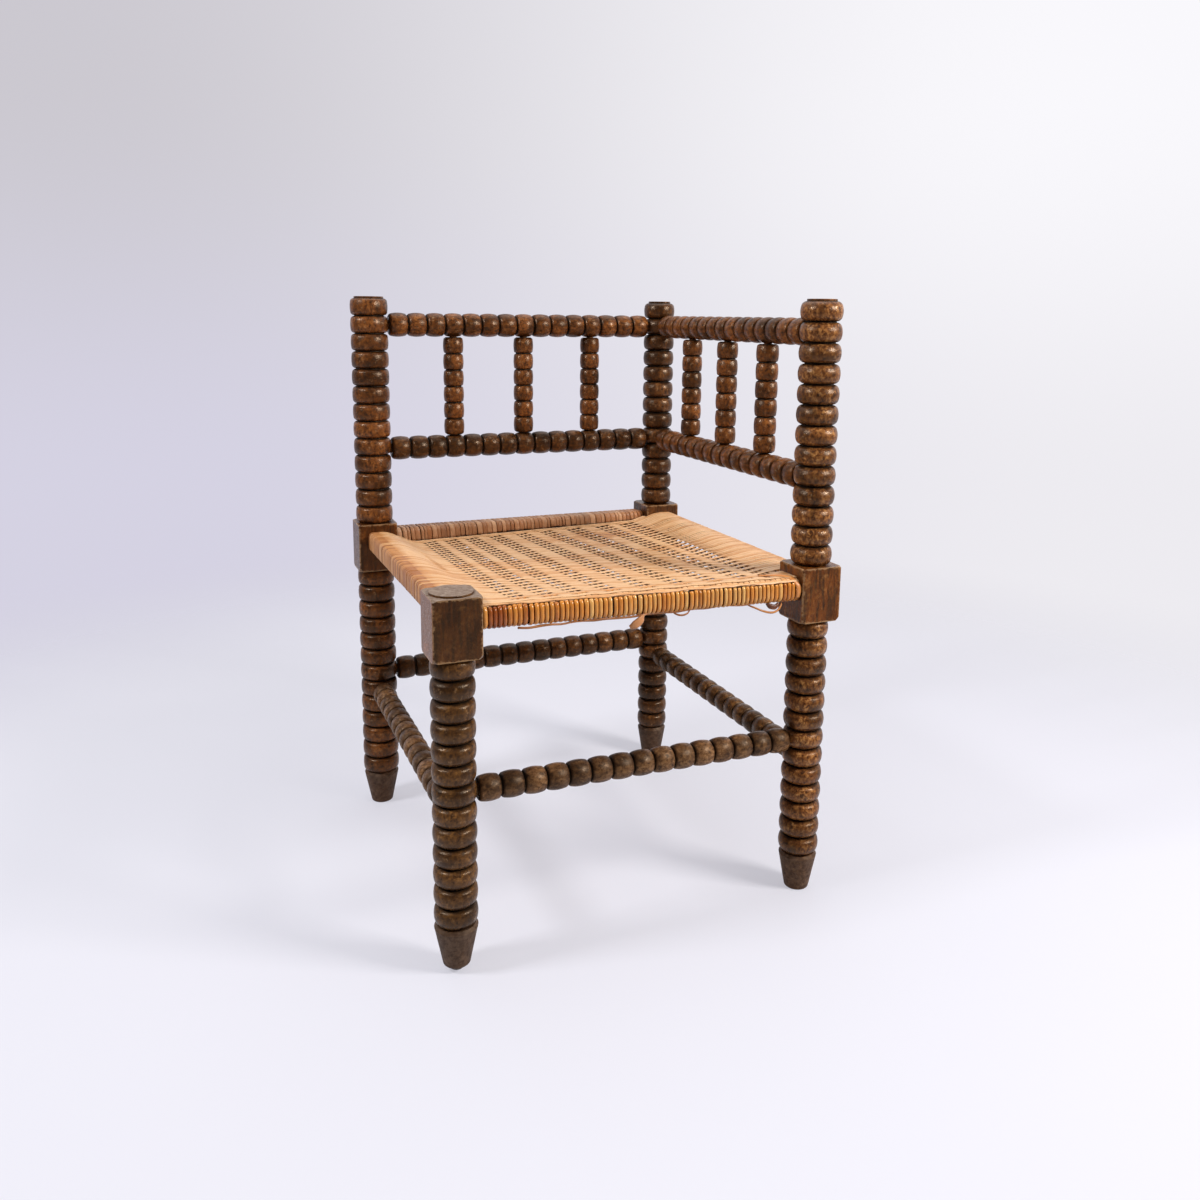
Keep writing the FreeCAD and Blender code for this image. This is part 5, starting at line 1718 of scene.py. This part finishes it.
@dataclass
class Studio:
    """The pale floor, the soft light and the camera."""

    high_left: Colour = (0.60, 0.58, 0.63)
    high_right: Colour = (0.95, 0.94, 0.975)
    low_left: Colour = (0.665, 0.645, 0.765)
    low_right: Colour = (0.85, 0.835, 0.875)
    room: Colour = (0.06, 0.06, 0.065)
    floor_half: float = 30.0
    photo_side: float = 1200.0
    focal: float = 1020.12
    photo_middle: tuple[float, float] = (614.33, 491.20)
    sensor: float = 36.0

    def build(self, effects: Effects) -> None:
        """Build the whole studio.

        Args:
            effects: The shared effects.
        """
        bpy.ops.object.select_all(action="DESELECT")
        bpy.ops.mesh.primitive_plane_add(size=2.0 * self.floor_half)
        floor = bpy.context.object
        floor.name = "floor"
        dress_node(floor, FloorPaper("floor_paper").paint(effects))
        self.light_world()
        self.hang_lamp("left_lamp", (-1.7, -0.1, 1.9), 0.42, 27.0, (0.97, 0.98, 1.0))
        self.hang_lamp("right_lamp", (1.3, -1.35, 1.5), 0.55, 41.0, (1.0, 0.97, 0.93))
        self.hang_lamp("top_lamp", (0.1, 0.4, 2.7), 2.2, 19.0, (1.0, 1.0, 1.0))
        self.set_camera()

    def light_world(self) -> None:
        """Light the room evenly, and show the pale backdrop behind the chair and its dim room in front."""
        world = bpy.data.worlds.new("studio")
        bpy.context.scene.world = world
        world.use_nodes = True
        w = Wiring(world.node_tree)
        light = w.fill(world.node_tree.nodes["Background"], Color=(0.95, 0.96, 1.0), Strength=0.26)
        way = w.add("TexCoord").outputs["Generated"]
        across = w.vector("DOT_PRODUCT", way, (0.917, -0.398, 0.0), out=1)
        high = w.blend(w.span(across, -0.5, 0.4), self.high_left, self.high_right)
        low = w.blend(w.span(across, -0.4, 0.45), self.low_left, self.low_right)
        wall = w.blend(w.span(w.apart(way)[2], -0.16, 0.2), low, high)
        ahead = w.span(w.vector("DOT_PRODUCT", way, (0.398, 0.917, 0.0), out=1), -0.1, 0.35)
        path = w.add("LightPath").outputs
        mirrored = w.math("MAXIMUM", path["Is Glossy Ray"], path["Is Transmission Ray"])
        dim = w.times(mirrored, w.minus(1.0, ahead))
        shown = w.add("Background", Color=w.blend(dim, wall, self.room), Strength=1.0).outputs[0]
        direct = w.math("MAXIMUM", path["Is Camera Ray"], mirrored)
        mixed = w.add("MixShader", i0=direct, i1=light.outputs[0], i2=shown).outputs[0]
        w.fill(world.node_tree.nodes["World Output"], Surface=mixed)

    def hang_lamp(self, name: str, place: Colour, size: float, power: float, colour: Colour) -> None:
        """Hang a square soft lamp that faces the chair.

        Args:
            name: The lamp's name.
            place: Where it hangs.
            size: Its side.
            power: Its power in watts.
            colour: Its colour.
        """
        data = bpy.data.lights.new(name, "AREA")
        data.shape = "SQUARE"
        data.size = size
        data.energy = power
        data.color = colour
        lamp = bpy.data.objects.new(name, data)
        bpy.context.scene.collection.objects.link(lamp)
        lamp.location = place
        lamp.rotation_mode = "QUATERNION"
        aim = Vector((0.0, 0.0, 0.4)) - Vector(place)
        lamp.rotation_quaternion = aim.to_track_quat("-Z", "Y")

    def set_camera(self) -> None:
        """Set the camera where the photograph was taken from."""
        yaw, pitch, roll = 0.4094, 0.1707, 0.0122
        side, middle = self.photo_side, self.photo_middle
        forward = Vector((math.sin(yaw) * math.cos(pitch), math.cos(yaw) * math.cos(pitch), -math.sin(pitch)))
        right = Vector((math.cos(yaw), -math.sin(yaw), 0.0))
        above = right.cross(forward)
        level = math.cos(roll) * right + math.sin(roll) * above
        plumb = math.cos(roll) * above - math.sin(roll) * right
        data = bpy.data.cameras.new("photo_camera")
        data.sensor_width = self.sensor
        data.lens = self.focal / side * self.sensor
        data.shift_x = (side / 2 - middle[0]) / side
        data.shift_y = (middle[1] - side / 2) / side
        data.dof.use_dof = False
        camera = bpy.data.objects.new("photo_camera", data)
        bpy.context.scene.collection.objects.link(camera)
        turned = Matrix((level, plumb, -forward)).transposed()
        camera.matrix_world = Matrix.Translation((-0.4616, -1.1883, 0.6933)) @ turned.to_4x4()
        bpy.context.scene.camera = camera


def main() -> None:
    """Build the chair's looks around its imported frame."""
    logging.basicConfig(level=logging.INFO, format="%(name)s: %(message)s")
    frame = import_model()
    nodes = frame["nodes"]
    effects = Effects()
    TurnedFrame().dress(nodes, effects)
    dress_node(nodes["foot_glide"], GlideMetal("glide_steel").paint(effects))
    for piece in CaneSeat().build(effects):
        log.info("%s has %d faces", piece.name, len(piece.data.polygons))
    Studio().build(effects)
    bpy.context.scene.view_settings.view_transform = "Standard"


if __name__ == "__main__":
    main()
